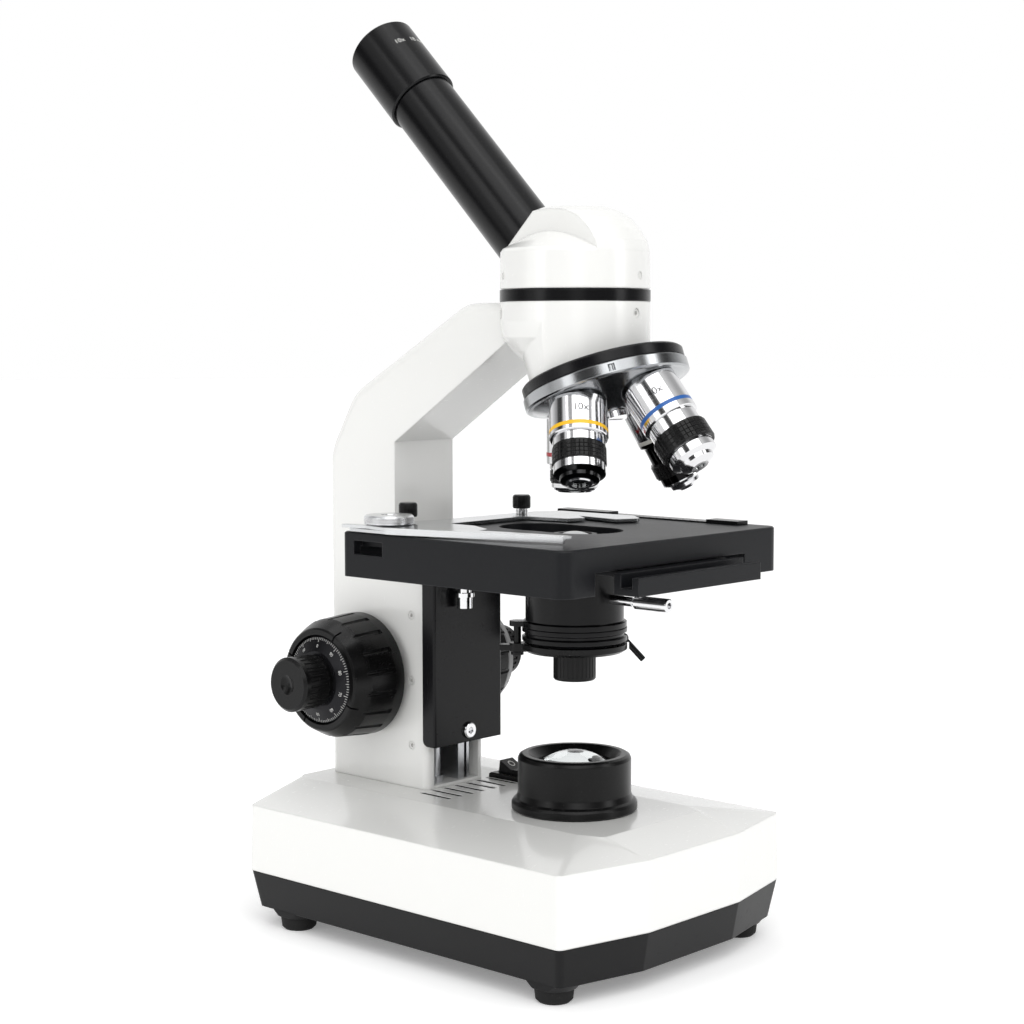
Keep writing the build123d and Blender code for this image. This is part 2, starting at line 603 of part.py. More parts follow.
def stage_body():
    """Square stage: a thick top with a deep skirt, a long light opening and slots for the slides."""
    body = block((-STAGE_HALF_W, STAGE_FRONT_Y, STAGE_BOTTOM_Z), (STAGE_HALF_W, STAGE_REAR_Y, STAGE_TOP_Z))
    uprights = body.edges().filter_by(Axis.Z)
    body = fillet(uprights.filter_by(lambda e: e.center().Y < 0), 6.0)
    body = fillet([e for e in body.edges().filter_by(Axis.Z) if e.center().Y > 60], 3.0)
    body = chamfer(body.faces().sort_by(Axis.Z)[-1].edges(), 0.6)
    under = STAGE_TOP_Z - STAGE_TOP_T
    body -= block((STAGE_WALL - STAGE_HALF_W, STAGE_FRONT_Y + STAGE_WALL, STAGE_BOTTOM_Z - 1),
                  (STAGE_HALF_W - STAGE_WALL, BRACKET_FRONT_Y - SEAM, under))
    body -= block((-BRACKET_HALF_W - SEAM, 55.0, STAGE_BOTTOM_Z - 1), (BRACKET_HALF_W + SEAM, 80.0, under))
    body += block((DRIVE_X - 6.5, DRIVE_Y - 6.5, STAGE_BOTTOM_Z + 1.0),
                  (DRIVE_X + 6.5, DRIVE_Y + 6.5, under))
    body -= rod(DRIVE_SLEEVE_R + 0.05, STAGE_BOTTOM_Z - 1, under - 1.0, DRIVE_X, DRIVE_Y)
    body -= Pos(0, 8, STAGE_TOP_Z - 12) * extrude(SlotOverall(60, 32, rotation=90), 20)
    body -= block((RAIL_X[0] - 9.0, STAGE_FRONT_Y - 1, STAGE_BOTTOM_Z - 1),
                  (RAIL_X[1] + 8.5, STAGE_FRONT_Y + 5, TONGUE_Z[1] + 0.6))
    body -= block((-STAGE_HALF_W - 1, 44.5, 171.0), (-STAGE_HALF_W + 5, 61.5, 176.8))
    body -= block((POST_X - 5.0, POST_Y - 16.0, STAGE_TOP_Z - 12),
                  (POST_X + 5.0, POST_Y + 16.0, STAGE_TOP_Z + 1))
    return body


def stage_scale():
    """Thin black scale along the stage's right edge, with a raised plate at each end."""
    z = STAGE_TOP_Z + SEAM
    scale = block((61.5, -40.0, z), (69.0, 63.5, z + 0.6))
    scale += block((61.5, -40.0, z + 0.6), (69.0, -23.0, z + 1.6))
    scale += block((61.5, 33.0, z + 0.6), (69.0, 63.5, z + 1.6))
    for index in range(13):
        mark_y = -18.0 + index * 3.8
        scale -= block((61.0, mark_y, z + 0.4), (62.6, mark_y + 0.8, z + 1.0))
    return scale


def cross_slide():
    """Front-to-back slide under the stage top, with its front rail and the post for the slide holder."""
    frame = block((-58.0, FRAME_FRONT_Y, TONGUE_Z[0]), (36.0, 50.0, TONGUE_Z[1] + 0.8))
    frame -= block((-27.0, FRAME_FRONT_Y + 7.0, 160), (27.0, 44.0, 180))
    frame += block((RAIL_X[0] + 6, RAIL_Y[1] - 1, TONGUE_Z[0]),
                   (RAIL_X[1] - 6, FRAME_FRONT_Y + 1, TONGUE_Z[1]))
    rail = block((RAIL_X[0], RAIL_Y[0], RAIL_Z[0]), (RAIL_X[1], RAIL_Y[0] + 3.2, RAIL_Z[1]))
    rail += block((RAIL_X[0], RAIL_Y[0], RAIL_Z[0]), (RAIL_X[1], RAIL_Y[1], RAIL_Z[0] + 2.6))
    rail += block((RAIL_X[0], RAIL_Y[1] - 3.6, RAIL_Z[0]), (RAIL_X[1], RAIL_Y[1], TONGUE_Z[1]))
    post = block((POST_X - 4.0, POST_Y - 5.0, TONGUE_Z[1]), (POST_X + 4.0, POST_Y + 5.0, STAGE_TOP_Z + 0.2))
    return frame + rail + post


def holder_plate():
    """Bright steel plate on the stage, with the fixed finger that frames the glass slide."""
    outline = make_face(Polyline(
        (-71.5, 63.0), (-71.5, 42.0), (-60.0, 28.0), (-51.0, 13.0), (-38.0, 15.0), (-30.0, 30.0),
        (-30.0, 45.0), (18.0, 45.0), (22.0, 23.0), (30.0, 20.0), (36.5, 29.0), (33.5, 5.0), (44.0, 0.0),
        (53.0, 11.0), (51.0, 52.0), (40.0, 59.0), (-24.0, 62.0), (-34.0, 67.0), (-68.0, 67.0), close=True))
    outline = fillet([v for v in outline.vertices() if v.X < -25 or v.X > 39], 2.0)
    return Pos(0, 0, HOLDER_Z) * extrude(outline, HOLDER_T)


def holder_knob():
    """Low round clamping knob on the slide holder, on a stub that the spring finger swings on."""
    stub_low = HOLDER_Z + HOLDER_T + SEAM
    knob = turned([(0, stub_low), (3.0, stub_low), (3.0, KNOB_LOW), (9.8, KNOB_LOW), (10.4, KNOB_LOW + 0.5),
                   (10.4, KNOB_LOW + 3.2), (9.6, KNOB_LOW + 4.0), (3.4, KNOB_LOW + 4.0),
                   (2.8, KNOB_LOW + 3.5), (0, KNOB_LOW + 3.5)])
    return Pos(*KNOB_POST, 0) * knob


def spring_finger():
    """Sprung blade that swings about the knob's stub and presses the glass slide into the frame."""
    z = HOLDER_Z + HOLDER_T + 0.1
    blade = extrude(make_face(Polyline(
        (-10.4, 17.6), (-8.0, 6.0), (-10.3, -8.0), (9.4, -88.0), (14.6, -88.0), (10.0, -60.0),
        (2.4, -22.0), (9.0, -6.0), (8.0, 6.0), (-4.0, 9.4), (-7.6, 18.0), close=True)), FINGER_T)
    blade = Pos(0, 0, z) * blade
    flange = extrude(make_face(Polyline(
        (-10.3, -8.0), (9.4, -88.0), (10.5, -88.0), (-9.2, -8.0), close=True)), z - HOLDER_Z - 0.1)
    blade += Pos(0, 0, HOLDER_Z + 0.1) * flange
    blade -= rod(3.05, HOLDER_Z, z + 5)
    return Pos(*KNOB_POST, 0) * blade


def holder_screws():
    """Two black knurled screws that fix the slide holder."""
    z = HOLDER_Z + HOLDER_T + SEAM
    screw = rod(2.4, z, z + 2.6) + rod(3.9, z + 2.6, z + 8.6)
    screw = chamfer(screw.edges().group_by(Axis.Z)[-1], 0.5)
    for index in range(24):
        screw -= Rot(0, 0, index * 15) * Pos(4.05, 0, z + 5.6) * Box(0.6, 0.4, 4.6)
    return Compound([Pos(x, y, 0) * screw for x, y in SCREW_SPOTS])


def drive_knob(z_low, z_high, radius):
    """A ribbed knob on the coaxial stage drive."""
    knob = rod(radius, z_low, z_high)
    knob = chamfer(knob.edges().group_by(Axis.Z)[0], 0.8)
    for index in range(24):
        knob -= Rot(0, 0, index * 15) * rod(0.7, z_low + 2, z_high - 1, radius + 0.25, 0)
    return knob


def x_drive_knob():
    """Lower stage-drive knob on the inner shaft: moves the slide holder left and right."""
    knob = drive_knob(122.0, 136.0, 9.5) + rod(2.4, 122.6, 172.6)
    return Pos(DRIVE_X, DRIVE_Y, 0) * knob


def y_drive_knob():
    """Upper stage-drive knob on the outer shaft: moves the cross slide front to back."""
    knob = drive_knob(136.5, 149.0, 12.5) + rod(DRIVE_SLEEVE_R, 149.0, 170.6) - rod(2.45, 130, 175)
    return Pos(DRIVE_X, DRIVE_Y, 0) * knob


# ---- condenser ----
def condenser_body():
    """Condenser sleeve under the stage, with its lens mount reaching up into the light opening."""
    body = turned([
        (14.2, 139.2), (CONDENSER_R + 1.2, 139.2), (CONDENSER_R + 1.2, 141.4), (CONDENSER_R, 142.0),
        (CONDENSER_R, 167.4), (19.0, 167.9), (13.6, 167.9), (13.6, 174.6), (9.6, 177.4), (9.6, 178.6),
        (7.4, 178.6), (7.4, 172.0), (14.2, 164.0)])
    mount = block((-18.0, 12.0, MOUNT_Z[0]), (18.0, BRACKET_FRONT_Y - SEAM, MOUNT_Z[1]))
    mount -= rod(14.2, 130, 166) + rod(3.05, 150, 170, STOP_SCREW_X, STOP_SCREW_Y)
    ear = block((19.0, -3.4, 139.2), (HINGE_RADIUS, 3.4, 141.4)) + rod(3.4, 139.2, 141.4, HINGE_RADIUS, 0)
    pin = rod(PIN_R, 127.9, 139.2, HINGE_RADIUS, 0) + rod(2.7, 126.8, 128.1, HINGE_RADIUS, 0)
    body += mount + Rot(0, 0, HINGE_TURN) * (ear + pin)
    hole = Plane(origin=(0, 0, LOCK_Z), z_dir=(0, -1, 0)).location * rod(2.05, 10, 40)
    return body - hole


def condenser_lens():
    """Glass front lens of the condenser, just under the stage surface."""
    return domed_disc(7.35, 172.2, 177.6, 179.6)


def condenser_lock_screw():
    """Bright thumbscrew with a knurled handle that locks the condenser from the front."""
    screw = rod(2.0, CONDENSER_R - 4.5, 32.0) + rod(1.6, 32.0, 34.0) + rod(2.9, 34.0, 51.0)
    screw = chamfer(screw.edges().group_by(Axis.Z)[-1], 0.4)
    for index in range(20):
        screw -= Rot(0, 0, index * 18) * Pos(3.05, 0, 42.2) * Box(0.45, 0.3, 13.0)
    screw -= rod(1.3, 49.0, 52.0)
    return Plane(origin=(0, 0, LOCK_Z), z_dir=(0, -1, 0)).location * screw


def iris_ring():
    """Rotating ring of the iris diaphragm with its small lever."""
    rim = CONDENSER_R + 1.4
    waist = CONDENSER_R + 0.2
    ring = turned([(15.0, 132.2), (rim - 1.0, 132.2), (rim, 133.4), (rim, 135.0), (waist, 135.6),
                   (waist, 136.6), (rim, 137.2), (rim, 138.9), (15.0, 138.9)])
    root = Vector(*LEVER_DIRECTION) * (CONDENSER_R - 0.2)
    frame = Plane(origin=(root.X, root.Y, 133.8), z_dir=(*LEVER_DIRECTION, -1.1)).location
    lever = frame * (rod(1.3, -0.6, 12.5) + Sphere(2.2))
    lever -= rod(CONDENSER_R + 2.2, 120, 132.2)
    return ring + lever


def filter_holder():
    """Swing-out filter ring under the iris, with a ribbed light tube below it and a hinge lug."""
    ring = turned([(6.6, 128.4), (20.6, 128.4), (22.4, 129.6), (22.4, 131.9), (19.6, 131.9), (19.6, 130.4),
                   (6.6, 130.4)])
    tube = turned([(6.6, 116.2), (8.6, 116.2), (9.1, 116.8), (9.1, 128.4), (6.6, 128.4)])
    for index in range(30):
        tube -= Rot(0, 0, index * 12) * Pos(9.3, 0, 122.6) * Box(0.8, 0.7, 9.6)
    lug = rod(3.4, 128.4, 131.9, HINGE_RADIUS, 0) + block((19.8, -3.4, 128.4), (HINGE_RADIUS, 3.4, 131.9))
    tab = block((HINGE_RADIUS, -2.4, 129.0), (32.0, 2.4, 131.3))
    return ring + tube + Rot(0, 0, HINGE_TURN) * (lug + tab - rod(PIN_R + 0.05, 120, 140, HINGE_RADIUS, 0))


# ---- turret ----
def nosepiece_seat():
    """Fixed black plate of the turret, screwed to the arm's socket."""
    top = TURRET_SEAT_TOP
    plate = rod(TURRET_R - 0.6, top, top + 4.8)
    plate = chamfer(plate.faces().sort_by(Axis.Z)[0].edges(), 0.8)
    plate = turret_frame() * plate
    return plate - rod(8.8, 200, 290) - turret_frame() * rod(3.95, 30, 60)


def nosepiece_pivot():
    """Central pivot bolt on which the turret turns."""
    bolt = rod(3.9, 34.0, 62.0) + rod(6.6, 62.6, 65.2) + rod(3.9, 62.0, 62.6)
    bolt -= Pos(0, 0, 65.2) * Box(9.0, 1.2, 1.6)
    return turret_frame() * bolt


def nosepiece_disc():
    """Turning part of the turret: a click-stopped rim and a conical underside with four threaded seats."""
    q = TURRET_SEAT_TOP + 4.8 + GAP
    tip = q + 5.4 + (TURRET_R - 10.4) * tan(radians(TURRET_TILT))
    disc = turned([(3.95, q), (TURRET_R - 0.4, q), (TURRET_R, q + 0.4), (TURRET_R, q + 4.6),
                   (TURRET_R - 0.8, q + 5.2), (TURRET_R - 2.4, q + 5.4), (8.0, tip), (3.95, tip)])
    disc = turret_frame() * disc
    for turn in OBJECTIVE_TURNS.values():
        disc -= objective_frame(turn) * rod(THREAD_R + 0.03, 40, SEAT_FROM_APEX + 3)
        disc -= objective_frame(turn) * rod(BARREL_R + 0.6, SEAT_FROM_APEX, SEAT_FROM_APEX + 8)
    for turn in OBJECTIVE_TURNS.values():
        disc -= turret_frame() * Rot(0, 0, turn + 45) * Pos(TURRET_R + 0.4, 0, q + 2.6) * Cylinder(
            1.4, 3.0)
    return disc


def objective(name):
    """One objective barrel: thread, shoulder, band groove, grip groove, nose and lens seat."""
    barrel_end, band, grip, grip_end, end, grip_r, nose_r, tip_r = OBJECTIVES[name]
    slim = name == "100x"
    barrel_r = SLIM_BARREL_R if slim else BARREL_R
    step_r = 9.0 if slim else BARREL_R - 1.3
    grip_floor = grip_r - GRIP_DEPTH - 1.0
    nose = end - grip_end
    shoulder_r = tip_r + (nose_r - tip_r) * 0.55
    points = [(4.0, -4.4), (THREAD_R, -4.4), (THREAD_R, 0), (barrel_r - 0.4, 0), (barrel_r, 0.4),
              (barrel_r, band), (barrel_r - 0.35, band), (barrel_r - 0.35, band + BAND_W),
              (barrel_r, band + BAND_W)]
    if slim:
        points += [(barrel_r, band + 3.0), (step_r, band + 4.0)]
    else:
        points += [(barrel_r, barrel_end - 0.4), (barrel_r - 0.4, barrel_end), (step_r, barrel_end + 0.1)]
    points += [(step_r, grip), (grip_floor, grip), (grip_floor, grip_end), (nose_r, grip_end),
               (nose_r, grip_end + nose * 0.45), (shoulder_r, grip_end + nose * 0.62),
               (shoulder_r - 0.3, grip_end + nose * 0.8), (tip_r, end - 0.5), (tip_r - 0.5, end)]
    lens_r = LENS_R[name]
    bore = min(lens_r - 0.4, 4.0)
    points += [(lens_r + 0.05, end), (lens_r + 0.05, end - 2.0), (bore, end - 2.0)]
    if bore < 4.0:
        points += [(bore, grip_end), (4.0, grip_end)]
    return objective_frame(OBJECTIVE_TURNS[name]) * Pos(0, 0, SEAT_FROM_APEX) * turned(points)


def objective_band(name):
    """Coloured ring set in the barrel's groove."""
    band = OBJECTIVES[name][1]
    outer = SLIM_BARREL_R if name == "100x" else BARREL_R
    ring = rod(outer, band + 0.02, band + BAND_W - 0.02) - rod(outer - 0.33, 0, 40)
    return objective_frame(OBJECTIVE_TURNS[name]) * Pos(0, 0, SEAT_FROM_APEX) * ring


def objective_grips():
    """Black knurled grips set round the objectives."""
    grips = []
    for name, turn in OBJECTIVE_TURNS.items():
        _, _, start, end, _, radius, _, _ = OBJECTIVES[name]
        ring = rod(radius, start + 0.03, end - 0.03) - rod(radius - GRIP_DEPTH - 0.97, 0, 60)
        for index in range(GRIP_RIBS):
            ring -= Rot(0, 0, index * 360 / GRIP_RIBS) * Pos(radius, 0, (start + end) / 2) * Box(
                0.9, 0.7, end - start - 1.6)
        grips.append(objective_frame(turn) * Pos(0, 0, SEAT_FROM_APEX) * ring)
    return Compound(grips)


def objective_lenses():
    """Front lenses of the four objectives."""
    lenses = []
    for name, turn in OBJECTIVE_TURNS.items():
        end = OBJECTIVES[name][4]
        lens = rod(LENS_R[name], end - 1.95, end - 0.5)
        lenses.append(objective_frame(turn) * Pos(0, 0, SEAT_FROM_APEX) * lens)
    return Compound(lenses)


# ---- head ----
def head_ring():
    """Black collar between the arm's socket and the head, with the male half of the round dovetail."""
    return turned([
        (9.5, RING_BOTTOM_Z + SEAM), (BULB_R - 0.2, RING_BOTTOM_Z + SEAM), (BULB_R, RING_BOTTOM_Z + 0.3),
        (BULB_R, RING_TOP_Z - 0.2), (BULB_R - 0.2, RING_TOP_Z), (DOVETAIL_R, RING_TOP_Z),
        (DOVETAIL_R, RING_TOP_Z + 4.0), (9.5, RING_TOP_Z + 4.0)])


def head_housing():
    """White prism housing that turns on the collar, with a slanted face for the tube."""
    z = RING_TOP_Z + GAP
    body = turned([(0, z), (BULB_R - 0.3, z), (BULB_R - 0.1, z + 0.6),
                   (BULB_R - 0.3, HEAD_WALL_TOP_Z - 1.0), (BULB_R - 1.2, HEAD_WALL_TOP_Z + 0.4),
                   (17.0, 305.3), (0, 308)])
    hood = turned([(0, 290), (BULB_R - 0.3, 290), (BULB_R - 0.4, 297.6), (30.4, 301.4), (27.6, 306.0),
                   (23.6, 310.8), (19.2, 313.8), (14.0, HEAD_TOP_Z), (0, HEAD_TOP_Z)])
    hood &= block((-HEAD_WEDGE_HALF_W, -40, 285), (HEAD_WEDGE_HALF_W, 40, 330))
    body += hood
    boss = tube_frame(0) * rod(16.6, 20.0, slant_distance())
    boss &= rod(BULB_R - 0.3, 282, 330)
    body += boss
    body -= tube_frame(0) * rod(60, slant_distance(), 140)
    body -= rod(DOVETAIL_R + GAP, z - 1, RING_TOP_Z + 4.0 + GAP)
    hollow = turned([(0, 284), (26.5, 287.5), (26.5, 296.0), (17.0, 301.5), (0, 303)])
    body -= hollow & block((-15.0, -26, 284), (15.0, 40, 303)) & tube_side_room()
    body -= rod(12.0, 280, 292)
    for turn in HEAD_SCREW_TURNS:
        body -= radial_frame(turn, HEAD_SCREW_Z) * rod(1.5, BULB_R - 2.8, BULB_R + 1)
    body -= tube_frame(0) * rod(TUBE_R + 0.03, slant_distance() - 9.0, slant_distance() + 5)
    body -= tube_frame(0) * rod(11.0, 12.0, slant_distance())
    return body


def tube_side_room():
    """Space kept clear of the tube's seat when the head is hollowed."""
    return tube_frame(0) * rod(60, 0, slant_distance() - 12.0)


def slant_distance():
    """Distance along the tube's axis of the slanted mounting face."""
    return (HEAD_SLANT - TUBE_Z0) / 2 * 2 ** 0.5


def head_screws():
    """Grub screws that hold the head to its collar."""
    screws = []
    screw = rod(1.45, BULB_R - 2.6, BULB_R - 0.7)
    for turn in HEAD_SCREW_TURNS:
        screws.append(radial_frame(turn, HEAD_SCREW_Z) * screw)
    return Compound(screws)


def collar_screws():
    """Grub screws in the arm's socket that hold the collar."""
    screws = []
    screw = rod(1.9, BULB_R - 2.8, BULB_R - 0.6) - rod(0.9, BULB_R - 1.8, BULB_R)
    for turn in COLLAR_SCREW_TURNS:
        screws.append(radial_frame(turn, COLLAR_SCREW_Z) * screw)
    return Compound(screws)


def observation_tube():
    """Black inclined tube."""
    start = slant_distance() - 9.0 + SEAM
    bores = rod(12.6, start - 1, TUBE_END - 22) + rod(TUBE_BORE_R, TUBE_END - 30, TUBE_END + 1)
    return tube_frame(0) * (rod(TUBE_R, start, TUBE_END) - bores)


def prism():
    """Glass prism that bends the light into the tube."""
    outline = Polyline((-9.0, 292.1), (9.0, 292.1), (9.0, 296.0), (3.0, 300.4), (-9.0, 300.4), close=True)
    return extrude(Plane.YZ * make_face(outline), 8.0, both=True)


def eyepiece_barrel():
    """Black eyepiece: a wide outer drum with a lip, and the tube that drops into the observation tube."""
    start = TUBE_END + GAP
    barrel = rod(EYEPIECE_R, start, EYEPIECE_END)
    barrel = chamfer(barrel.faces().sort_by(Axis.Z)[-1].edges(), 1.0)
    barrel = chamfer(barrel.faces().sort_by(Axis.Z)[0].edges(), 0.6)
    barrel += rod(TUBE_BORE_R - 0.05, start - 20.0, start)
    barrel -= rod(10.0, start - 21, EYEPIECE_END - 7.0)
    barrel -= rod(9.0, EYEPIECE_END - 8.0, EYEPIECE_END - 2.4)
    barrel -= Pos(0, 0, EYEPIECE_END - 2.4) * Cone(9.0, 13.0, 3.0, align=UPWARD)
    return tube_frame(0) * barrel


def eye_lens():
    """Eye lens under the eyepiece's dished top."""
    return tube_frame(0) * rod(8.97, EYEPIECE_END - 6.9, EYEPIECE_END - 3.2)


def field_lens():
    """Field lens at the eyepiece's lower end."""
    return tube_frame(0) * rod(9.97, TUBE_END - 18.5, TUBE_END - 15.0)


PIECES = {
    "base_shell": base_shell, "base_pan": base_pan, "rubber_feet": rubber_feet, "base_screws": base_screws,
    "control_board": control_board, "power_socket": power_socket, "switch_bezel": switch_bezel,
    "switch_rocker": switch_rocker, "lamp_housing": lamp_housing, "collector_lens": collector_lens,
    "led_module": led_module, "arm": arm, "arm_side_screws": arm_side_screws, "guide_rods": guide_rods,
    "shaft_bushes": shaft_bushes, "pinion_shaft": pinion_shaft, "coarse_knobs": coarse_knobs,
    "fine_spindle": fine_spindle, "rack_slide": rack_slide, "stage_bracket": stage_bracket,
    "bracket_screw": bracket_screw, "stage_stop_screw": stage_stop_screw, "stage_body": stage_body,
    "stage_scale": stage_scale, "cross_slide": cross_slide, "holder_plate": holder_plate,
    "holder_knob": holder_knob, "spring_finger": spring_finger, "holder_screws": holder_screws,
    "x_drive_knob": x_drive_knob, "y_drive_knob": y_drive_knob, "condenser_body": condenser_body,
    "condenser_lens": condenser_lens, "condenser_lock_screw": condenser_lock_screw, "iris_ring": iris_ring,
    "filter_holder": filter_holder, "nosepiece_seat": nosepiece_seat, "nosepiece_pivot": nosepiece_pivot,
    "nosepiece_disc": nosepiece_disc, "objective_grips": objective_grips,
    "objective_lenses": objective_lenses, "head_ring": head_ring, "head_housing": head_housing,
    "head_screws": head_screws,
    "collar_screws": collar_screws, "observation_tube": observation_tube, "prism": prism,
    "eyepiece_barrel": eyepiece_barrel, "eye_lens": eye_lens, "field_lens": field_lens,
    "fine_knobs": fine_knobs, "fine_dials": fine_dials}
BAND_COLOURS = {"4x": "red", "10x": "yellow", "40x": "blue", "100x": "white"}

os.makedirs("parts", exist_ok=True)
for piece_name, make in PIECES.items():
    save(piece_name, make())
for power, colour in BAND_COLOURS.items():
    save(f"objective_{power}", objective(power))
    save(f"band_{colour}", objective_band(power))
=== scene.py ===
import json
import math

import bpy
from mathutils import Matrix, Vector


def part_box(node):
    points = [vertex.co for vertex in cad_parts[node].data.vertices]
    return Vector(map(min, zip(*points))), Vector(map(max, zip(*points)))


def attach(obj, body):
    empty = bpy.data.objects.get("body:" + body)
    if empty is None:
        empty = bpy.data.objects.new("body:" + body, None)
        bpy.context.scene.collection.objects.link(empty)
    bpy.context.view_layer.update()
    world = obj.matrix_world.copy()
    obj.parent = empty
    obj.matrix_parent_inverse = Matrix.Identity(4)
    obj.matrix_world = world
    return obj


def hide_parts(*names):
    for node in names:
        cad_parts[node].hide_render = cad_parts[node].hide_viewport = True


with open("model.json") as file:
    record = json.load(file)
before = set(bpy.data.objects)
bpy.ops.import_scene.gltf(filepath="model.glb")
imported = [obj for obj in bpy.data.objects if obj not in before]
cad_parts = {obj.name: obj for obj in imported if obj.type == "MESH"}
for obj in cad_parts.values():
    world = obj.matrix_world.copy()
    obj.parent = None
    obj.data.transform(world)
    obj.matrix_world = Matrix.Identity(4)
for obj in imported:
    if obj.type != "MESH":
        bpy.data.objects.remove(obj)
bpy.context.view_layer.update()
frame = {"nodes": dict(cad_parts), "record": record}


# ---------------------------------------------------------------------------------------------
# The room: a plain pale floor that the microscope stands on, soft daylight from all round, two
# tall soft boxes, an overhead strip and a broad sun. The camera looks a little down at a corner.
CAMERA_PLACE = (-0.6598, -0.6016, 0.2622)
CAMERA_TURN = -47.537
CAMERA_DIP = 4.893
CAMERA_ROLL = 0.074
bpy.ops.object.select_all(action="DESELECT")
bpy.ops.object.camera_add(location=CAMERA_PLACE)
camera = bpy.context.object
camera.rotation_euler = (Matrix.Rotation(math.radians(CAMERA_TURN), 4, "Z")
                         @ Matrix.Rotation(math.radians(90 - CAMERA_DIP), 4, "X")
                         @ Matrix.Rotation(math.radians(-CAMERA_ROLL), 4, "Z")).to_euler()
camera.data.lens = 72.4
camera.data.sensor_width = 36.0
camera.data.clip_start = 0.01
camera.data.clip_end = 60
bpy.context.scene.camera = camera

bpy.ops.mesh.primitive_circle_add(vertices=96, radius=12.0, fill_type="NGON", location=(0, 0, 0))
floor = bpy.context.object
floor.name = "floor"
floor_finish = bpy.data.materials.new("floor_paper")
floor_finish.use_nodes = True
floor_shader = floor_finish.node_tree.nodes["Principled BSDF"]
floor_shader.inputs["Base Color"].default_value = (0.93, 0.93, 0.93, 1)
floor_shader.inputs["Roughness"].default_value = 0.8
floor_shader.inputs["Specular IOR Level"].default_value = 0.1
floor_shader.inputs["Emission Color"].default_value = (1, 1, 1, 1)
floor_shader.inputs["Emission Strength"].default_value = 0.22
floor.data.materials.append(floor_finish)

world = bpy.data.worlds.new("soft_daylight")
bpy.context.scene.world = world
world.use_nodes = True
sky = world.node_tree.nodes["Background"]
sky.inputs["Color"].default_value = (1.0, 1.0, 1.0, 1)
SEEN_SKY = 1.0
LIGHTING_SKY = 0.54
DARK_ROOM = 0.05
BRIGHT_PANEL = 0.85
FAR_WALL = 0.95
LIGHT_CEILING = 0.75
PANEL_COUNT = 5.0
PANEL_BEARING = 0.9
studio = world.node_tree


def studio_math(operation, first, second=None, third=None):
    """A Math node in the world, fed with sockets or plain numbers; returns its output."""
    node = studio.nodes.new("ShaderNodeMath")
    node.operation = operation
    for socket, value in zip(node.inputs, (first, second, third)):
        if isinstance(value, (int, float)):
            socket.default_value = value
        elif value is not None:
            studio.links.new(value, socket)
    return node.outputs[0]


def studio_mix(factor, low, high):
    """A value between two sockets or numbers; returns its output."""
    node = studio.nodes.new("ShaderNodeMix")
    studio.links.new(factor, node.inputs["Factor"])
    for name, value in (("A", low), ("B", high)):
        if isinstance(value, (int, float)):
            node.inputs[name].default_value = value
        else:
            studio.links.new(value, node.inputs[name])
    return node.outputs["Result"]


# what bright metal mirrors: a dim room with tall panels round it, a light wall beyond the
# microscope and a light ceiling
gaze = studio.nodes.new("ShaderNodeTexCoord")
parts = studio.nodes.new("ShaderNodeSeparateXYZ")
studio.links.new(gaze.outputs["Generated"], parts.inputs["Vector"])
bearing = studio_math("ARCTAN2", parts.outputs["Y"], parts.outputs["X"])
wave = studio_math("SINE", studio_math("MULTIPLY_ADD", bearing, PANEL_COUNT, PANEL_BEARING))
panel = studio.nodes.new("ShaderNodeMapRange")
panel.inputs["From Min"].default_value = 0.45
panel.inputs["From Max"].default_value = 0.80
studio.links.new(wave, panel.inputs["Value"])
panels = studio_mix(panel.outputs["Result"], DARK_ROOM, BRIGHT_PANEL)
beyond = studio_math("MULTIPLY", studio_math("ADD", parts.outputs["X"], parts.outputs["Y"]), 0.7071)
far_share = studio.nodes.new("ShaderNodeMapRange")
far_share.inputs["From Min"].default_value = 0.15
far_share.inputs["From Max"].default_value = 0.75
studio.links.new(beyond, far_share.inputs["Value"])
with_wall = studio_mix(far_share.outputs["Result"], panels, FAR_WALL)
high_share = studio.nodes.new("ShaderNodeMapRange")
high_share.inputs["From Min"].default_value = 0.55
high_share.inputs["From Max"].default_value = 0.9
studio.links.new(parts.outputs["Z"], high_share.inputs["Value"])
mirrored = studio_mix(high_share.outputs["Result"], with_wall, LIGHT_CEILING)
ray = studio.nodes.new("ShaderNodeLightPath")
lighting = studio_mix(ray.outputs["Is Glossy Ray"], LIGHTING_SKY, mirrored)
studio.links.new(studio_mix(ray.outputs["Is Camera Ray"], lighting, SEEN_SKY), sky.inputs["Strength"])
bpy.context.scene.view_settings.view_transform = "Standard"


def soft_box(name, place, aim, width, height, watts):
    """A large rectangular lamp at a place, turned to face a point."""
    bpy.ops.object.light_add(type="AREA", location=place)
    lamp = bpy.context.object
    lamp.name = name
    lamp.rotation_euler = (Vector(aim) - Vector(place)).to_track_quat("-Z", "Y").to_euler()
    lamp.data.shape = "RECTANGLE"
    lamp.data.size = width
    lamp.data.size_y = height
    lamp.data.energy = watts


soft_box("left_soft_box", (-1.7, 0.35, 0.9), (0, 0, 0.15), 0.5, 1.5, 5)
soft_box("front_soft_box", (0.7, -1.7, 0.9), (0, 0, 0.15), 0.5, 1.3, 5)
soft_box("overhead_strip", (0.0, 0.2, 1.8), (0, 0, 0), 0.7, 1.5, 4)
bpy.ops.object.light_add(type="SUN", rotation=(math.radians(42), 0, math.radians(-38)))
daylight = bpy.context.object
daylight.name = "broad_daylight"
daylight.data.energy = 1.42
daylight.data.angle = math.radians(60)


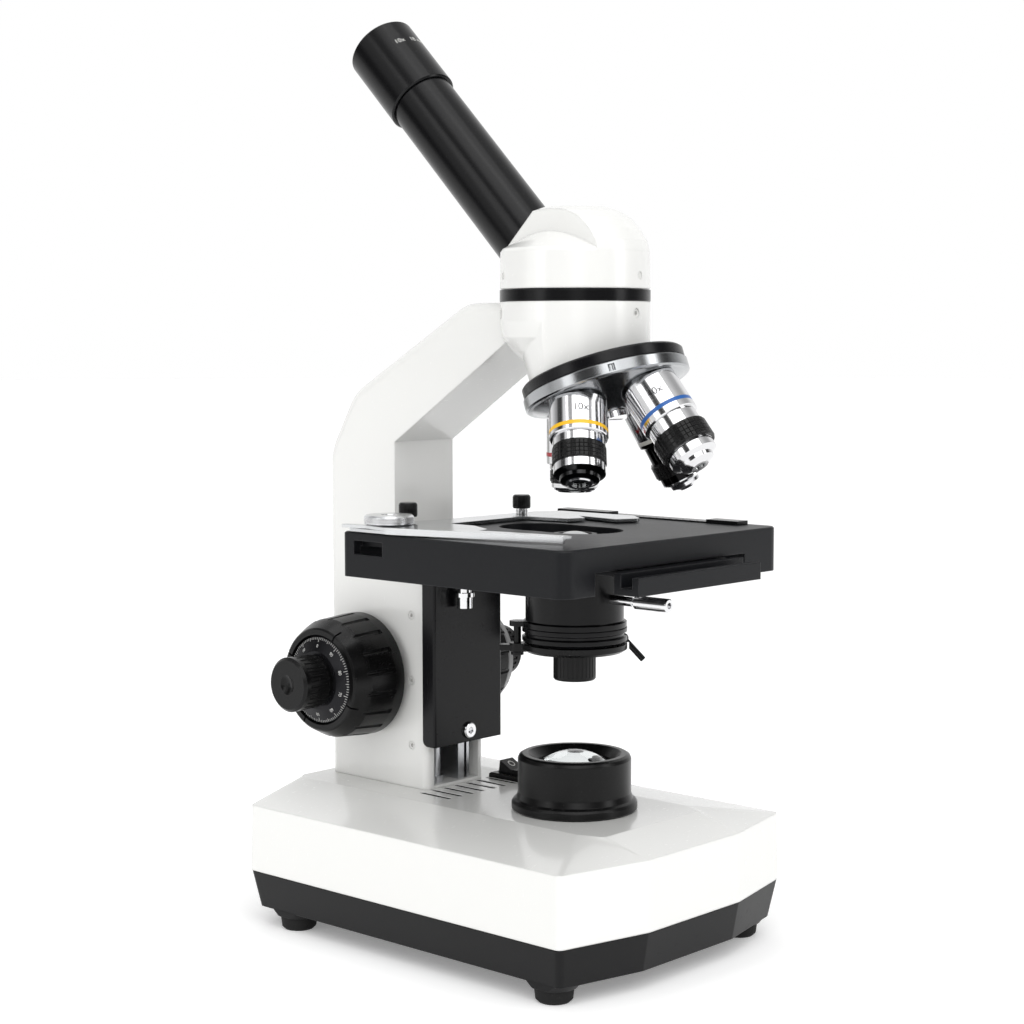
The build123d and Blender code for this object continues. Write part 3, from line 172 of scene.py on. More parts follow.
# ---------------------------------------------------------------------------------------------
# Base shell, arm and head: castings stove-enamelled in a gloss off-white with the faint orange
# peel of sprayed enamel, slightly softened along their edges.
def finish(name, colour, roughness, metallic=0.0):
    """A new material with one Principled shader."""
    material = bpy.data.materials.new(name)
    material.use_nodes = True
    shader = material.node_tree.nodes["Principled BSDF"]
    shader.inputs["Base Color"].default_value = (*colour, 1)
    shader.inputs["Roughness"].default_value = roughness
    shader.inputs["Metallic"].default_value = metallic
    shader.inputs["Specular IOR Level"].default_value = 0.22 if max(colour) < 0.03 else 0.5
    return material


def add(tree, kind, **values):
    """A new node in a tree, with its input sockets set by name, spaces written as underscores."""
    node = tree.nodes.new(kind)
    for name, value in values.items():
        node.inputs[name.replace("_", " ")].default_value = value
    return node


def group(name, inputs, outputs):
    """An empty shader node group with float, colour or vector sockets, and its two end nodes."""
    tree = bpy.data.node_groups.new(name, "ShaderNodeTree")
    kinds = {"f": "NodeSocketFloat", "c": "NodeSocketColor", "v": "NodeSocketVector"}
    for socket, kind in inputs:
        tree.interface.new_socket(socket, in_out="INPUT", socket_type=kinds[kind])
    for socket, kind in outputs:
        tree.interface.new_socket(socket, in_out="OUTPUT", socket_type=kinds[kind])
    return tree, tree.nodes.new("NodeGroupInput"), tree.nodes.new("NodeGroupOutput")


# handled surface: slow patches of roughness from wiping and handling, hairline scratches and a
# little dust, over the whole object
handled, start, end = group(
    "handled_surface",
    [("Colour", "c"), ("Dust Colour", "c"), ("Dust", "f"),
     ("Roughness", "f"), ("Spread", "f"), ("Patch", "f")],
    [("Colour", "c"), ("Roughness", "f")])
place = add(handled, "ShaderNodeTexCoord")
patches = add(handled, "ShaderNodeTexNoise", Detail=5.0, Roughness=0.62)
handled.links.new(place.outputs["Object"], patches.inputs["Vector"])
handled.links.new(start.outputs["Patch"], patches.inputs["Scale"])
stretch = add(handled, "ShaderNodeMapping", Scale=(260, 1900, 420), Rotation=(0.5, 0.3, 0.9))
handled.links.new(place.outputs["Object"], stretch.inputs["Vector"])
scratches = add(handled, "ShaderNodeTexNoise", Scale=1.0, Detail=2.0)
handled.links.new(stretch.outputs["Vector"], scratches.inputs["Vector"])
scratch_line = add(handled, "ShaderNodeMapRange", From_Min=0.66, From_Max=0.72, To_Min=0.0, To_Max=0.5)
handled.links.new(scratches.outputs["Fac"], scratch_line.inputs["Value"])
centred = add(handled, "ShaderNodeMath")
centred.operation = "SUBTRACT"
centred.inputs[1].default_value = 0.5
handled.links.new(patches.outputs["Fac"], centred.inputs[0])
mixed = add(handled, "ShaderNodeMath")
mixed.operation = "ADD"
handled.links.new(centred.outputs[0], mixed.inputs[0])
handled.links.new(scratch_line.outputs["Result"], mixed.inputs[1])
spread = add(handled, "ShaderNodeMath")
spread.operation = "MULTIPLY_ADD"
handled.links.new(mixed.outputs[0], spread.inputs[0])
handled.links.new(start.outputs["Spread"], spread.inputs[1])
handled.links.new(start.outputs["Roughness"], spread.inputs[2])
handled.links.new(spread.outputs[0], end.inputs["Roughness"])
specks = add(handled, "ShaderNodeTexNoise", Scale=2600.0, Detail=1.0)
handled.links.new(place.outputs["Object"], specks.inputs["Vector"])
speck_mask = add(handled, "ShaderNodeMapRange", From_Min=0.69, From_Max=0.76, To_Min=0.0, To_Max=1.0)
handled.links.new(specks.outputs["Fac"], speck_mask.inputs["Value"])
facing = add(handled, "ShaderNodeNewGeometry")
upward = add(handled, "ShaderNodeSeparateXYZ")
handled.links.new(facing.outputs["Normal"], upward.inputs["Vector"])
on_top = add(handled, "ShaderNodeMapRange", From_Min=0.2, From_Max=0.9, To_Min=0.15, To_Max=1.0)
handled.links.new(upward.outputs["Z"], on_top.inputs["Value"])
dust_here = add(handled, "ShaderNodeMath")
dust_here.operation = "MULTIPLY"
handled.links.new(speck_mask.outputs["Result"], dust_here.inputs[0])
handled.links.new(on_top.outputs["Result"], dust_here.inputs[1])
dust_amount = add(handled, "ShaderNodeMath")
dust_amount.operation = "MULTIPLY"
handled.links.new(dust_here.outputs[0], dust_amount.inputs[0])
handled.links.new(start.outputs["Dust"], dust_amount.inputs[1])
dusted = add(handled, "ShaderNodeMix")
dusted.data_type = "RGBA"
handled.links.new(dust_amount.outputs[0], dusted.inputs["Factor"])
handled.links.new(start.outputs["Colour"], dusted.inputs["A"])
handled.links.new(start.outputs["Dust Colour"], dusted.inputs["B"])
handled.links.new(dusted.outputs["Result"], end.inputs["Colour"])

# edge sheen and wear: a mask that is 1 on sharp corners, where a lighter colour is painted in as a
# highlight along the edge, and where a coating is thin or has rubbed through
edge_rub, start, end = group("edge_rub", [("Breakup", "f")], [("Mask", "f")])
rounded = add(edge_rub, "ShaderNodeBevel", Radius=0.0007)
rounded.samples = 4
true_normal = add(edge_rub, "ShaderNodeNewGeometry")
agreement = add(edge_rub, "ShaderNodeVectorMath")
agreement.operation = "DOT_PRODUCT"
edge_rub.links.new(rounded.outputs["Normal"], agreement.inputs[0])
edge_rub.links.new(true_normal.outputs["Normal"], agreement.inputs[1])
corner = add(edge_rub, "ShaderNodeMapRange", From_Min=0.99, From_Max=0.86, To_Min=0.0, To_Max=1.0)
edge_rub.links.new(agreement.outputs["Value"], corner.inputs["Value"])
place = add(edge_rub, "ShaderNodeTexCoord")
broken = add(edge_rub, "ShaderNodeTexNoise", Scale=300.0, Detail=3.0)
edge_rub.links.new(place.outputs["Object"], broken.inputs["Vector"])
broken_range = add(edge_rub, "ShaderNodeMapRange", From_Min=0.35, From_Max=0.65)
edge_rub.links.new(broken.outputs["Fac"], broken_range.inputs["Value"])
edge_rub.links.new(start.outputs["Breakup"], broken_range.inputs["To Min"])
rub = add(edge_rub, "ShaderNodeMath")
rub.operation = "MULTIPLY"
edge_rub.links.new(corner.outputs["Result"], rub.inputs[0])
edge_rub.links.new(broken_range.outputs["Result"], rub.inputs[1])
edge_rub.links.new(rub.outputs[0], end.inputs["Mask"])

# skin: the fine relief of a sprayed, moulded or blasted surface
skin, start, end = group(
    "surface_skin", [("Fine", "f"), ("Coarse", "f"), ("Balance", "f")], [("Height", "f")])
place = add(skin, "ShaderNodeTexCoord")
fine_grain = add(skin, "ShaderNodeTexNoise", Detail=3.0)
coarse_grain = add(skin, "ShaderNodeTexNoise", Detail=2.0)
for grain, size in ((fine_grain, "Fine"), (coarse_grain, "Coarse")):
    skin.links.new(place.outputs["Object"], grain.inputs["Vector"])
    skin.links.new(start.outputs[size], grain.inputs["Scale"])
blend = add(skin, "ShaderNodeMix")
skin.links.new(start.outputs["Balance"], blend.inputs["Factor"])
skin.links.new(fine_grain.outputs["Fac"], blend.inputs["A"])
skin.links.new(coarse_grain.outputs["Fac"], blend.inputs["B"])
skin.links.new(blend.outputs["Result"], end.inputs["Height"])


def coated(material, dust=0.25, spread=0.1, patch=18.0, fine=1400.0, coarse=220.0, balance=0.5,
           relief=0.08, depth=0.00006, bevel=0.0003, rub=None):
    """Give a finish its handling marks, its skin, soft corners and, with an edge colour, sharp edges
    lightened partly as painted highlight and partly as wear.
    """
    tree = material.node_tree
    shader = tree.nodes["Principled BSDF"]
    colour = tuple(shader.inputs["Base Color"].default_value)
    marks = add(tree, "ShaderNodeGroup")
    marks.node_tree = handled
    for name, value in (("Colour", colour), ("Dust Colour", (0.6, 0.59, 0.57, 1)), ("Dust", dust),
                        ("Roughness", shader.inputs["Roughness"].default_value),
                        ("Spread", spread), ("Patch", patch)):
        marks.inputs[name].default_value = value
    tree.links.new(marks.outputs["Roughness"], shader.inputs["Roughness"])
    # the edge colour is lighter than the coat: a painted highlight along sharp corners, and also edge wear
    if rub:
        edge_sheen_and_worn = add(tree, "ShaderNodeGroup")
        edge_sheen_and_worn.node_tree = edge_rub
        edge_sheen_and_worn.inputs["Breakup"].default_value = 0.25
        mix = add(tree, "ShaderNodeMix")
        mix.data_type = "RGBA"
        mix.inputs["B"].default_value = (*rub, 1)
        tree.links.new(edge_sheen_and_worn.outputs["Mask"], mix.inputs["Factor"])
        tree.links.new(marks.outputs["Colour"], mix.inputs["A"])
        tree.links.new(mix.outputs["Result"], shader.inputs["Base Color"])
    else:
        tree.links.new(marks.outputs["Colour"], shader.inputs["Base Color"])
    grain = add(tree, "ShaderNodeGroup")
    grain.node_tree = skin
    for name, value in (("Fine", fine), ("Coarse", coarse), ("Balance", balance)):
        grain.inputs[name].default_value = value
    bump = add(tree, "ShaderNodeBump", Strength=relief, Distance=depth)
    corners = add(tree, "ShaderNodeBevel", Radius=bevel)
    corners.samples = 4
    tree.links.new(grain.outputs["Height"], bump.inputs["Height"])
    tree.links.new(corners.outputs["Normal"], bump.inputs["Normal"])
    tree.links.new(bump.outputs["Normal"], shader.inputs["Normal"])
    return material


def dress(material, *names):
    """Give CAD parts their finish."""
    for name in names:
        part = frame["nodes"][name]
        if not part.material_slots:
            part.data.materials.append(material)
        for slot in part.material_slots:
            slot.material = material


ivory_enamel = coated(finish("ivory_enamel", (0.83, 0.83, 0.81), 0.24), dust=0.05, spread=0.08, patch=9.0,
                      fine=900.0, coarse=160.0, balance=0.8, relief=0.10, bevel=0.0012)
ivory_shader = ivory_enamel.node_tree.nodes["Principled BSDF"]
ivory_shader.inputs["Coat Weight"].default_value = 0.5
ivory_shader.inputs["Coat Roughness"].default_value = 0.08
dress(ivory_enamel, "base_shell", "arm", "head_housing")


# ---------------------------------------------------------------------------------------------
# Base pan and feet: a black powder-coated tray screwed up under the shell, on four moulded
# rubber feet. The board under the deck drives the lamp from the socket in the rear wall.
pan_coat = coated(finish("black_powder_coat", (0.004, 0.004, 0.0045), 0.38), dust=0.10, spread=0.12,
                  fine=2200.0, coarse=700.0, relief=0.35, bevel=0.0008, rub=(0.025, 0.025, 0.025))
dress(pan_coat, "base_pan")
foot_rubber = coated(finish("foot_rubber", (0.012, 0.012, 0.012), 0.72), dust=0.5, fine=1800.0, relief=0.3)
dress(foot_rubber, "rubber_feet")
black_oxide = coated(finish("black_oxide_steel", (0.10, 0.10, 0.105), 0.38, 1.0), dust=0.1, relief=0.15,
                     bevel=0.0002)
dress(black_oxide, "base_screws", "fine_spindle", "pinion_shaft")
board_lacquer = coated(finish("board_lacquer", (0.01, 0.11, 0.045), 0.35), fine=900.0, relief=0.2)
dress(board_lacquer, "control_board")


# ---------------------------------------------------------------------------------------------
# Lamp switch and power socket: satin black mouldings snapped into the shell, with a white ring
# and a white bar filled into the rocker's two faces.
def moulded(name, shade, roughness, **settings):
    """A satin black moulding with spark-eroded grain."""
    return coated(finish(name, (shade, shade, shade * 1.04), roughness), **settings)


switch_plastic = moulded("switch_plastic", 0.006, 0.26, dust=0.12, relief=0.15, bevel=0.0003)
dress(switch_plastic, "switch_bezel", "switch_rocker", "power_socket")
mark_white = coated(finish("mark_white", (0.62, 0.62, 0.60), 0.45), dust=0.0, relief=0.1, bevel=0.0001)


def settle(name, material, body):
    """Name the selected mesh, fix its place in it, and give it a finish, a body and a slot."""
    piece = bpy.context.object
    bpy.ops.object.transform_apply(location=True, rotation=True, scale=True)
    piece.name = name
    piece.data.name = name
    piece.data.materials.clear()
    piece.data.materials.append(material)
    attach(piece, body)
    return piece


MM = 0.001
joints = {joint["name"]: joint for joint in frame["record"]["behaviour"]["joints"]}
ROCKER_TILT = math.radians(8.0)
RING_R = 1.45 * MM
RING_WIRE_R = 0.26 * MM
BAR_SIZE = (0.5 * MM, 3.0 * MM, 0.2 * MM)
# each mark's place along the rocker and above its pivot in mm, and the slope of its face
ROCKER_FACES = {"switch_ring_mark": (3.7, 5.2, math.radians(19.9)),
                "switch_bar_mark": (-3.8, 4.6, math.radians(-11.0))}
rocker_frame = (Matrix.Translation(Vector(joints["switch_rock"]["pos_m"]))
                @ Matrix.Rotation(ROCKER_TILT, 4, "X"))
for name, (along, high, slope) in ROCKER_FACES.items():
    bpy.ops.object.select_all(action="DESELECT")
    if name == "switch_ring_mark":
        bpy.ops.mesh.primitive_torus_add(major_radius=RING_R, minor_radius=RING_WIRE_R, major_segments=40,
                                         minor_segments=10)
        bpy.context.object.scale = (1.0, 1.15, 0.35)
    else:
        bpy.ops.mesh.primitive_cube_add(size=1)
        bpy.context.object.scale = BAR_SIZE
    bpy.ops.object.transform_apply(location=False, rotation=False, scale=True)
    mark = bpy.context.object
    if name == "switch_bar_mark":
        corner_round = mark.modifiers.new("round", "BEVEL")
        corner_round.width = 0.08 * MM
        corner_round.segments = 2
        bpy.ops.object.modifier_apply(modifier="round")
    mark.matrix_world = (rocker_frame @ Matrix.Translation((0, along * MM, high * MM))
                         @ Matrix.Rotation(slope, 4, "X"))
    settle(name, mark_white, "rocker")


# ---------------------------------------------------------------------------------------------
# Vent shade: a thin black sheet with chamfered edges under the deck's cooling slots, and a thin black
# sleeve that lines each slot; both are painted shade that darkens the view into the slots.
# painted shade: the black sheet and sleeves make the cooling slots look dark inside
vent_shade_black = coated(finish("vent_painted_shade", (0.006, 0.006, 0.006), 0.8), dust=0.3, relief=0.3, bevel=0.0002)
DECK_Z = 60.2 * MM
SHADE_SHEET_X = -1.5 * MM
SHADE_SHEET_Z = DECK_Z - 3.8 * MM
SHADE_SHEET_SIZE = (50.0 * MM, 22.5 * MM, 0.8 * MM)
VENT_COUNT = 7
VENT_PITCH = 7.1 * MM
VENT_FIRST_X = -22.8 * MM
VENT_Y = 26.9 * MM
LINER_Z = DECK_Z - 1.75 * MM
LINER_SIZE = (2.5 * MM, 18.4 * MM, 2.9 * MM)
bpy.ops.object.select_all(action="DESELECT")
bpy.ops.mesh.primitive_cube_add(size=1, location=(SHADE_SHEET_X, VENT_Y, SHADE_SHEET_Z))
shade_sheet = bpy.context.object
shade_sheet.scale = SHADE_SHEET_SIZE
bpy.ops.object.transform_apply(location=True, rotation=False, scale=True)
cut_corners = shade_sheet.modifiers.new("cut_corners", "BEVEL")
cut_corners.width = 1.2 * MM
cut_corners.segments = 1
bpy.ops.object.modifier_apply(modifier="cut_corners")
settle("vent_shade_sheet", vent_shade_black, "stand")
for index in range(VENT_COUNT):
    bpy.ops.object.select_all(action="DESELECT")
    vent_x = VENT_FIRST_X + index * VENT_PITCH
    bpy.ops.mesh.primitive_cube_add(size=1, location=(vent_x, VENT_Y, LINER_Z))
    liner = bpy.context.object
    liner.scale = LINER_SIZE
    bpy.ops.object.transform_apply(location=True, rotation=False, scale=True)
    bpy.ops.object.mode_set(mode="EDIT")
    bpy.ops.mesh.select_all(action="DESELECT")
    bpy.ops.mesh.select_mode(type="EDGE")
    bpy.ops.object.mode_set(mode="OBJECT")
    for edge in liner.data.edges:
        ends = [liner.data.vertices[corner].co for corner in edge.vertices]
        edge.select = abs(ends[0].z - ends[1].z) > 1.0 * MM
    bpy.ops.object.mode_set(mode="EDIT")
    bpy.ops.mesh.bevel(offset=1.24 * MM, segments=6)
    bpy.ops.mesh.select_mode(type="FACE")
    bpy.ops.object.mode_set(mode="OBJECT")
    for face in liner.data.polygons:
        face.select = abs(face.normal.z) > 0.9
    bpy.ops.object.mode_set(mode="EDIT")
    bpy.ops.mesh.delete(type="FACE")
    bpy.ops.object.mode_set(mode="OBJECT")
    sleeve = liner.modifiers.new("sleeve", "SOLIDIFY")
    sleeve.thickness = 0.3 * MM
    sleeve.offset = -1
    bpy.ops.object.modifier_apply(modifier="sleeve")
    settle("vent_shade_liner_" + str(index + 1), vent_shade_black, "stand")


# ---------------------------------------------------------------------------------------------
# Lamp: a turned black drum with a domed clear lens, over the lamp module's turned metal heat
# sink. The clear glass of the other lenses is mixed here too, and the condenser lens is an
# opaque light grey-white, a painted glow of the lamp's light showing through it.
drum_plastic = moulded("lamp_drum_plastic", 0.0035, 0.30, dust=0.2, fine=1800.0, relief=0.25, bevel=0.0005)
dress(drum_plastic, "lamp_housing")
clear_glass = bpy.data.materials.new("clear_optical_glass")
clear_glass.use_nodes = True
glass_shader = clear_glass.node_tree.nodes["Principled BSDF"]
glass_shader.inputs["Base Color"].default_value = (0.95, 0.98, 0.98, 1)
glass_shader.inputs["Roughness"].default_value = 0.02
glass_shader.inputs["Transmission Weight"].default_value = 1.0
glass_shader.inputs["IOR"].default_value = 1.52
dress(clear_glass, "collector_lens", "eye_lens", "field_lens", "prism", "objective_lenses")
# painted light: the condenser lens is coloured light grey-white for the lamp's glow through it
condenser_glow_white = coated(finish("condenser_painted_lamp_glow", (0.80, 0.82, 0.82), 0.12), dust=0.1, relief=0.05,
                     bevel=0.0002)
dress(condenser_glow_white, "condenser_lens")
heat_sink = coated(finish("turned_heat_sink", (0.66, 0.67, 0.69), 0.3, 1.0), relief=0.2, bevel=0.0002)
dress(heat_sink, "led_module")


# ---------------------------------------------------------------------------------------------
# Focus drive: steel guide shaft and rails in the arm's channel, brass bushes, an aluminium slide
# with its rack, black moulded coarse and fine knobs, and black dials graduated in white.
lathe, start, end = group(
    "lathe_lines", [("Along", "v"), ("Pitch", "f"), ("Roughness", "f"), ("Spread", "f")],
    [("Roughness", "f"), ("Height", "f")])
lines = add(lathe, "ShaderNodeTexWave", Distortion=0.35, Detail=2.0)
lines.wave_type = "BANDS"
lines.bands_direction = "Z"
lathe.links.new(start.outputs["Along"], lines.inputs["Vector"])
lathe.links.new(start.outputs["Pitch"], lines.inputs["Scale"])
line_spread = add(lathe, "ShaderNodeMath")
line_spread.operation = "MULTIPLY_ADD"
lathe.links.new(lines.outputs["Fac"], line_spread.inputs[0])
lathe.links.new(start.outputs["Spread"], line_spread.inputs[1])
lathe.links.new(start.outputs["Roughness"], line_spread.inputs[2])
lathe.links.new(line_spread.outputs[0], end.inputs["Roughness"])
lathe.links.new(lines.outputs["Fac"], end.inputs["Height"])


def turned_metal(name, colour, roughness, tilt=(0, 0, 0), pitch=900.0, spread=0.12, relief=0.12, rub=None):
    """Bright metal with the lines that a lathe or a grinding wheel leaves across its axis."""
    material = finish(name, colour, roughness, 1.0)
    tree = material.node_tree
    shader = tree.nodes["Principled BSDF"]
    place = add(tree, "ShaderNodeTexCoord")
    turn = add(tree, "ShaderNodeMapping", Rotation=tilt)
    tree.links.new(place.outputs["Object"], turn.inputs["Vector"])
    cut = add(tree, "ShaderNodeGroup")
    cut.node_tree = lathe
    tree.links.new(turn.outputs["Vector"], cut.inputs["Along"])
    for socket, value in (("Pitch", pitch), ("Roughness", roughness), ("Spread", spread)):
        cut.inputs[socket].default_value = value
    tree.links.new(cut.outputs["Roughness"], shader.inputs["Roughness"])
    marks = add(tree, "ShaderNodeGroup")
    marks.node_tree = handled
    for socket, value in (("Colour", (*colour, 1)), ("Dust Colour", tuple(0.6 * c for c in colour) + (1,)),
                          ("Dust", 0.4), ("Roughness", roughness), ("Spread", 0.1), ("Patch", 60.0)):
        marks.inputs[socket].default_value = value
    tree.links.new(marks.outputs["Colour"], shader.inputs["Base Color"])
    bump = add(tree, "ShaderNodeBump", Strength=relief, Distance=0.00003)
    tree.links.new(cut.outputs["Height"], bump.inputs["Height"])
    tree.links.new(bump.outputs["Normal"], shader.inputs["Normal"])
    return material


ground_steel = turned_metal("ground_steel", (0.62, 0.63, 0.65), 0.22, pitch=700.0)
slide_aluminium = turned_metal("milled_aluminium", (0.58, 0.59, 0.61), 0.34, pitch=380.0)
turned_brass = turned_metal("turned_brass", (0.72, 0.52, 0.24), 0.3, tilt=(0, math.radians(90), 0))
dress(ground_steel, "guide_rods")
dress(slide_aluminium, "rack_slide")
dress(turned_brass, "shaft_bushes")
painted_over = coated(finish("painted_over_screw", (0.74, 0.74, 0.72), 0.3), relief=0.1, bevel=0.0002)
dress(painted_over, "arm_side_screws")
knob_plastic = moulded("knob_plastic", 0.0035, 0.25, dust=0.12, fine=1500.0, relief=0.14, bevel=0.0002,
                       rub=(0.02, 0.02, 0.021))
dress(knob_plastic, "coarse_knobs", "fine_knobs", "x_drive_knob", "y_drive_knob")
dial_black = coated(finish("dial_anodised", (0.014, 0.014, 0.016), 0.26, 0.5), dust=0.1, relief=0.12,
                    bevel=0.0003)
dress(dial_black, "fine_dials")

# white graduations round each dial's sloping face, with a number at every tenth one
dial_low, dial_high = (Vector(corner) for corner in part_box("fine_dials"))
dial_centre = Vector(joints["fine_turn"]["pos_m"])
DIAL_MARKS = 100
DIAL_NUMBERS = 10
NUMBER_HIGH = 2.1 * MM
DIAL_THICK = 5.2 * MM
DIAL_RIM_R = 19.2 * MM
DIAL_RIM_RISE = 3.0 * MM
DIAL_SLOPE = math.atan2(2.2, 6.2)
DIAL_EDGE_R = 19.1 * MM
DIAL_NUMBER_R = 15.3 * MM


def on_dial(side, turn, radius):
    """A frame on a dial's sloping face: X runs outwards along the slope and Z stands off it."""
    outward = -1 if side == "left" else 1
    outer_x = dial_low.x if side == "left" else dial_high.x
    height = DIAL_RIM_RISE + (DIAL_RIM_R - radius) * math.tan(DIAL_SLOPE)
    return (Matrix.Translation((outer_x - outward * DIAL_THICK, dial_centre.y, dial_centre.z))
            @ Matrix.Rotation(outward * math.radians(90), 4, "Y") @ Matrix.Rotation(turn, 4, "Z")
            @ Matrix.Translation((radius, 0, height)) @ Matrix.Rotation(DIAL_SLOPE, 4, "Y"))


def join_all(parts):
    """Join meshes into the first of them and leave it active and selected."""
    bpy.ops.object.select_all(action="DESELECT")
    for part in parts:
        part.select_set(True)
    bpy.context.view_layer.objects.active = parts[0]
    bpy.ops.object.transform_apply(location=True, rotation=True, scale=True)
    bpy.ops.object.join()


for side in ("left", "right"):
    ticks = []
    for index in range(DIAL_MARKS):
        length = (2.1 if index % 10 == 0 else 1.6 if index % 5 == 0 else 1.1) * MM
        bpy.ops.object.select_all(action="DESELECT")
        bpy.ops.mesh.primitive_cube_add(size=1)
        tick = bpy.context.object
        tick.scale = (length, 0.2 * MM, 0.1 * MM)
        bpy.ops.object.transform_apply(location=False, rotation=False, scale=True)
        tick.matrix_world = on_dial(side, index * math.tau / DIAL_MARKS, DIAL_EDGE_R - length / 2)
        ticks.append(tick)
    for index in range(DIAL_NUMBERS):
        bpy.ops.object.select_all(action="DESELECT")
        bpy.ops.object.text_add()
        number = bpy.context.object
        number.data.body = str(index * DIAL_MARKS // DIAL_NUMBERS)
        number.data.size = NUMBER_HIGH
        number.data.align_x = "CENTER"
        number.data.align_y = "CENTER"
        number.data.extrude = 0.05 * MM
        bpy.ops.object.convert(target="MESH")
        number = bpy.context.object
        number.matrix_world = (on_dial(side, index * math.tau / DIAL_NUMBERS, DIAL_NUMBER_R)
                               @ Matrix.Rotation(math.radians(-90), 4, "Z"))
        ticks.append(number)
    join_all(ticks)
    settle(side + "_dial_graduations", mark_white, "fine_drive")


# ---------------------------------------------------------------------------------------------
# Stage and its bracket: castings in a fine black crackle coat, with a black anodised scale along
# the right edge, bright screws, and the bright steel slide holder with its sprung finger.
stage_coat = coated(finish("stage_fine_coat", (0.0055, 0.006, 0.0075), 0.40), dust=0.14, spread=0.12,
                    fine=3400.0, coarse=1500.0, relief=0.7, depth=0.00008, bevel=0.0008,
                    rub=(0.04, 0.04, 0.042))
dress(stage_coat, "stage_body", "cross_slide")
bracket_enamel = coated(finish("bracket_enamel", (0.004, 0.004, 0.005), 0.25), dust=0.10, fine=1400.0,
                        relief=0.2, bevel=0.0006, rub=(0.025, 0.025, 0.025))
dress(bracket_enamel, "stage_bracket", "nosepiece_seat")
anodised = coated(finish("black_anodised", (0.0035, 0.0035, 0.004), 0.22), dust=0.08, fine=2600.0,
                  relief=0.12, bevel=0.0004, rub=(0.03, 0.03, 0.032))
dress(anodised, "stage_scale", "holder_screws", "condenser_body", "iris_ring", "head_ring")
chrome = turned_metal("bright_chrome", (0.80, 0.80, 0.81), 0.09, pitch=1300.0, spread=0.06, relief=0.05)
dress(chrome, "bracket_screw", "stage_stop_screw", "condenser_lock_screw", "nosepiece_pivot")
holder_steel = coated(finish("polished_sheet_steel", (0.66, 0.67, 0.68), 0.2, 1.0), dust=0.3,
                      spread=0.14, patch=70.0, fine=1500.0, relief=0.12, bevel=0.0003)
dress(holder_steel, "holder_plate", "spring_finger", "holder_knob")
filter_plastic = moulded("filter_holder_plastic", 0.006, 0.28, dust=0.1, relief=0.2, bevel=0.0003)
dress(filter_plastic, "filter_holder")


# ---------------------------------------------------------------------------------------------
# Turret and objectives: a satin chromed disc, and four bright chromed barrels, each with its
# enamel line and a black knurled grip. Two of the barrels have a blackened stretch.
turret_steel = coated(finish("turret_satin_chrome", (0.40, 0.41, 0.42), 0.2, 1.0), dust=0.1, spread=0.1,
                      patch=40.0, relief=0.02, bevel=0.0003)
dress(turret_steel, "nosepiece_disc")
apex = Vector(joints["turret_turn"]["pos_m"])
turret_axis = Vector(joints["turret_turn"]["axis"]).normalized()
turret_across = Vector((1, 0, 0))
turret_frame = Matrix.Translation(apex) @ Matrix(
    (turret_across, turret_axis.cross(turret_across), turret_axis)).transposed().to_4x4()
TURRET_TILT = math.radians(20)
SEAT = 61.6 * MM
OBJECTIVE_TURNS = {"4": 270, "10": 180, "40": 90, "100": 0}
GRIP_PADS = 40
GRIP_GAP = 0.03
# each grip's two ends, from the shoulder, and its radius, in mm
GRIPS = {"4": (21.0, 27.0, 10.6), "10": (20.0, 28.2, 11.1),
         "40": (24.6, 33.4, 12.0), "100": (26.0, 33.0, 10.2)}
BAND_COLOURS = {"band_red": (0.45, 0.01, 0.02), "band_yellow": (0.85, 0.48, 0.01),
                "band_blue": (0.01, 0.10, 0.36), "band_white": (0.78, 0.77, 0.72)}
for name, colour in BAND_COLOURS.items():
    dress(coated(finish(name + "_enamel", colour, 0.28), dust=0.0, relief=0.08, bevel=0.0001), name)


def objective_frame(power):
    """The frame on an objective's shoulder, with Z pointing out of its front lens."""
    return (turret_frame @ Matrix.Rotation(math.radians(OBJECTIVE_TURNS[power]), 4, "Z")
            @ Matrix.Rotation(TURRET_TILT, 4, "Y") @ Matrix.Translation((0, 0, SEAT)))


# darker stretches on two of them, as (distance from the shoulder in mm, tone from there on)
ZONE_SPAN = 50.0
ZONES = {"100": ((0.0, 0.30), (16.3, 0.012), (36.0, 0.74)),
         "10": ((0.0, 0.74), (31.4, 0.03), (35.2, 0.74))}
for power in OBJECTIVE_TURNS:
    barrel = turned_metal("objective_chrome_" + power, (0.74, 0.74, 0.75), 0.10, pitch=300.0, spread=0.05,
                          relief=0.02)
    tree = barrel.node_tree
    inward = objective_frame(power).inverted()
    tree.nodes["Mapping"].inputs["Rotation"].default_value = inward.to_euler()
    tree.nodes["Mapping"].inputs["Location"].default_value = inward.to_translation()
    if power in ZONES:
        along = tree.nodes.new("ShaderNodeSeparateXYZ")
        tree.links.new(tree.nodes["Mapping"].outputs["Vector"], along.inputs["Vector"])
        scaled = add(tree, "ShaderNodeMapRange", From_Min=0.0, From_Max=ZONE_SPAN * MM)
        tree.links.new(along.outputs["Z"], scaled.inputs["Value"])
        ramp = tree.nodes.new("ShaderNodeValToRGB")
        ramp.color_ramp.interpolation = "CONSTANT"
        ramp.color_ramp.elements.remove(ramp.color_ramp.elements[1])
        stops = ramp.color_ramp.elements
        for start_z, tone in ZONES[power]:
            stop = stops.new(start_z / ZONE_SPAN) if start_z else stops[0]
            stop.color = (tone, tone, tone * 1.02, 1)
        tree.links.new(scaled.outputs["Result"], ramp.inputs["Fac"])
        tree.links.new(ramp.outputs["Color"], tree.nodes["Principled BSDF"].inputs["Base Color"])
    dress(barrel, "objective_" + power + "x")

# each grip: a ring with a square knurl, its faces inset one by one and raised into small pads
grip_black = coated(finish("grip_black", (0.003, 0.003, 0.0033), 0.2), dust=0.12, relief=0.1,
                    bevel=0.0001, rub=(0.03, 0.03, 0.03))


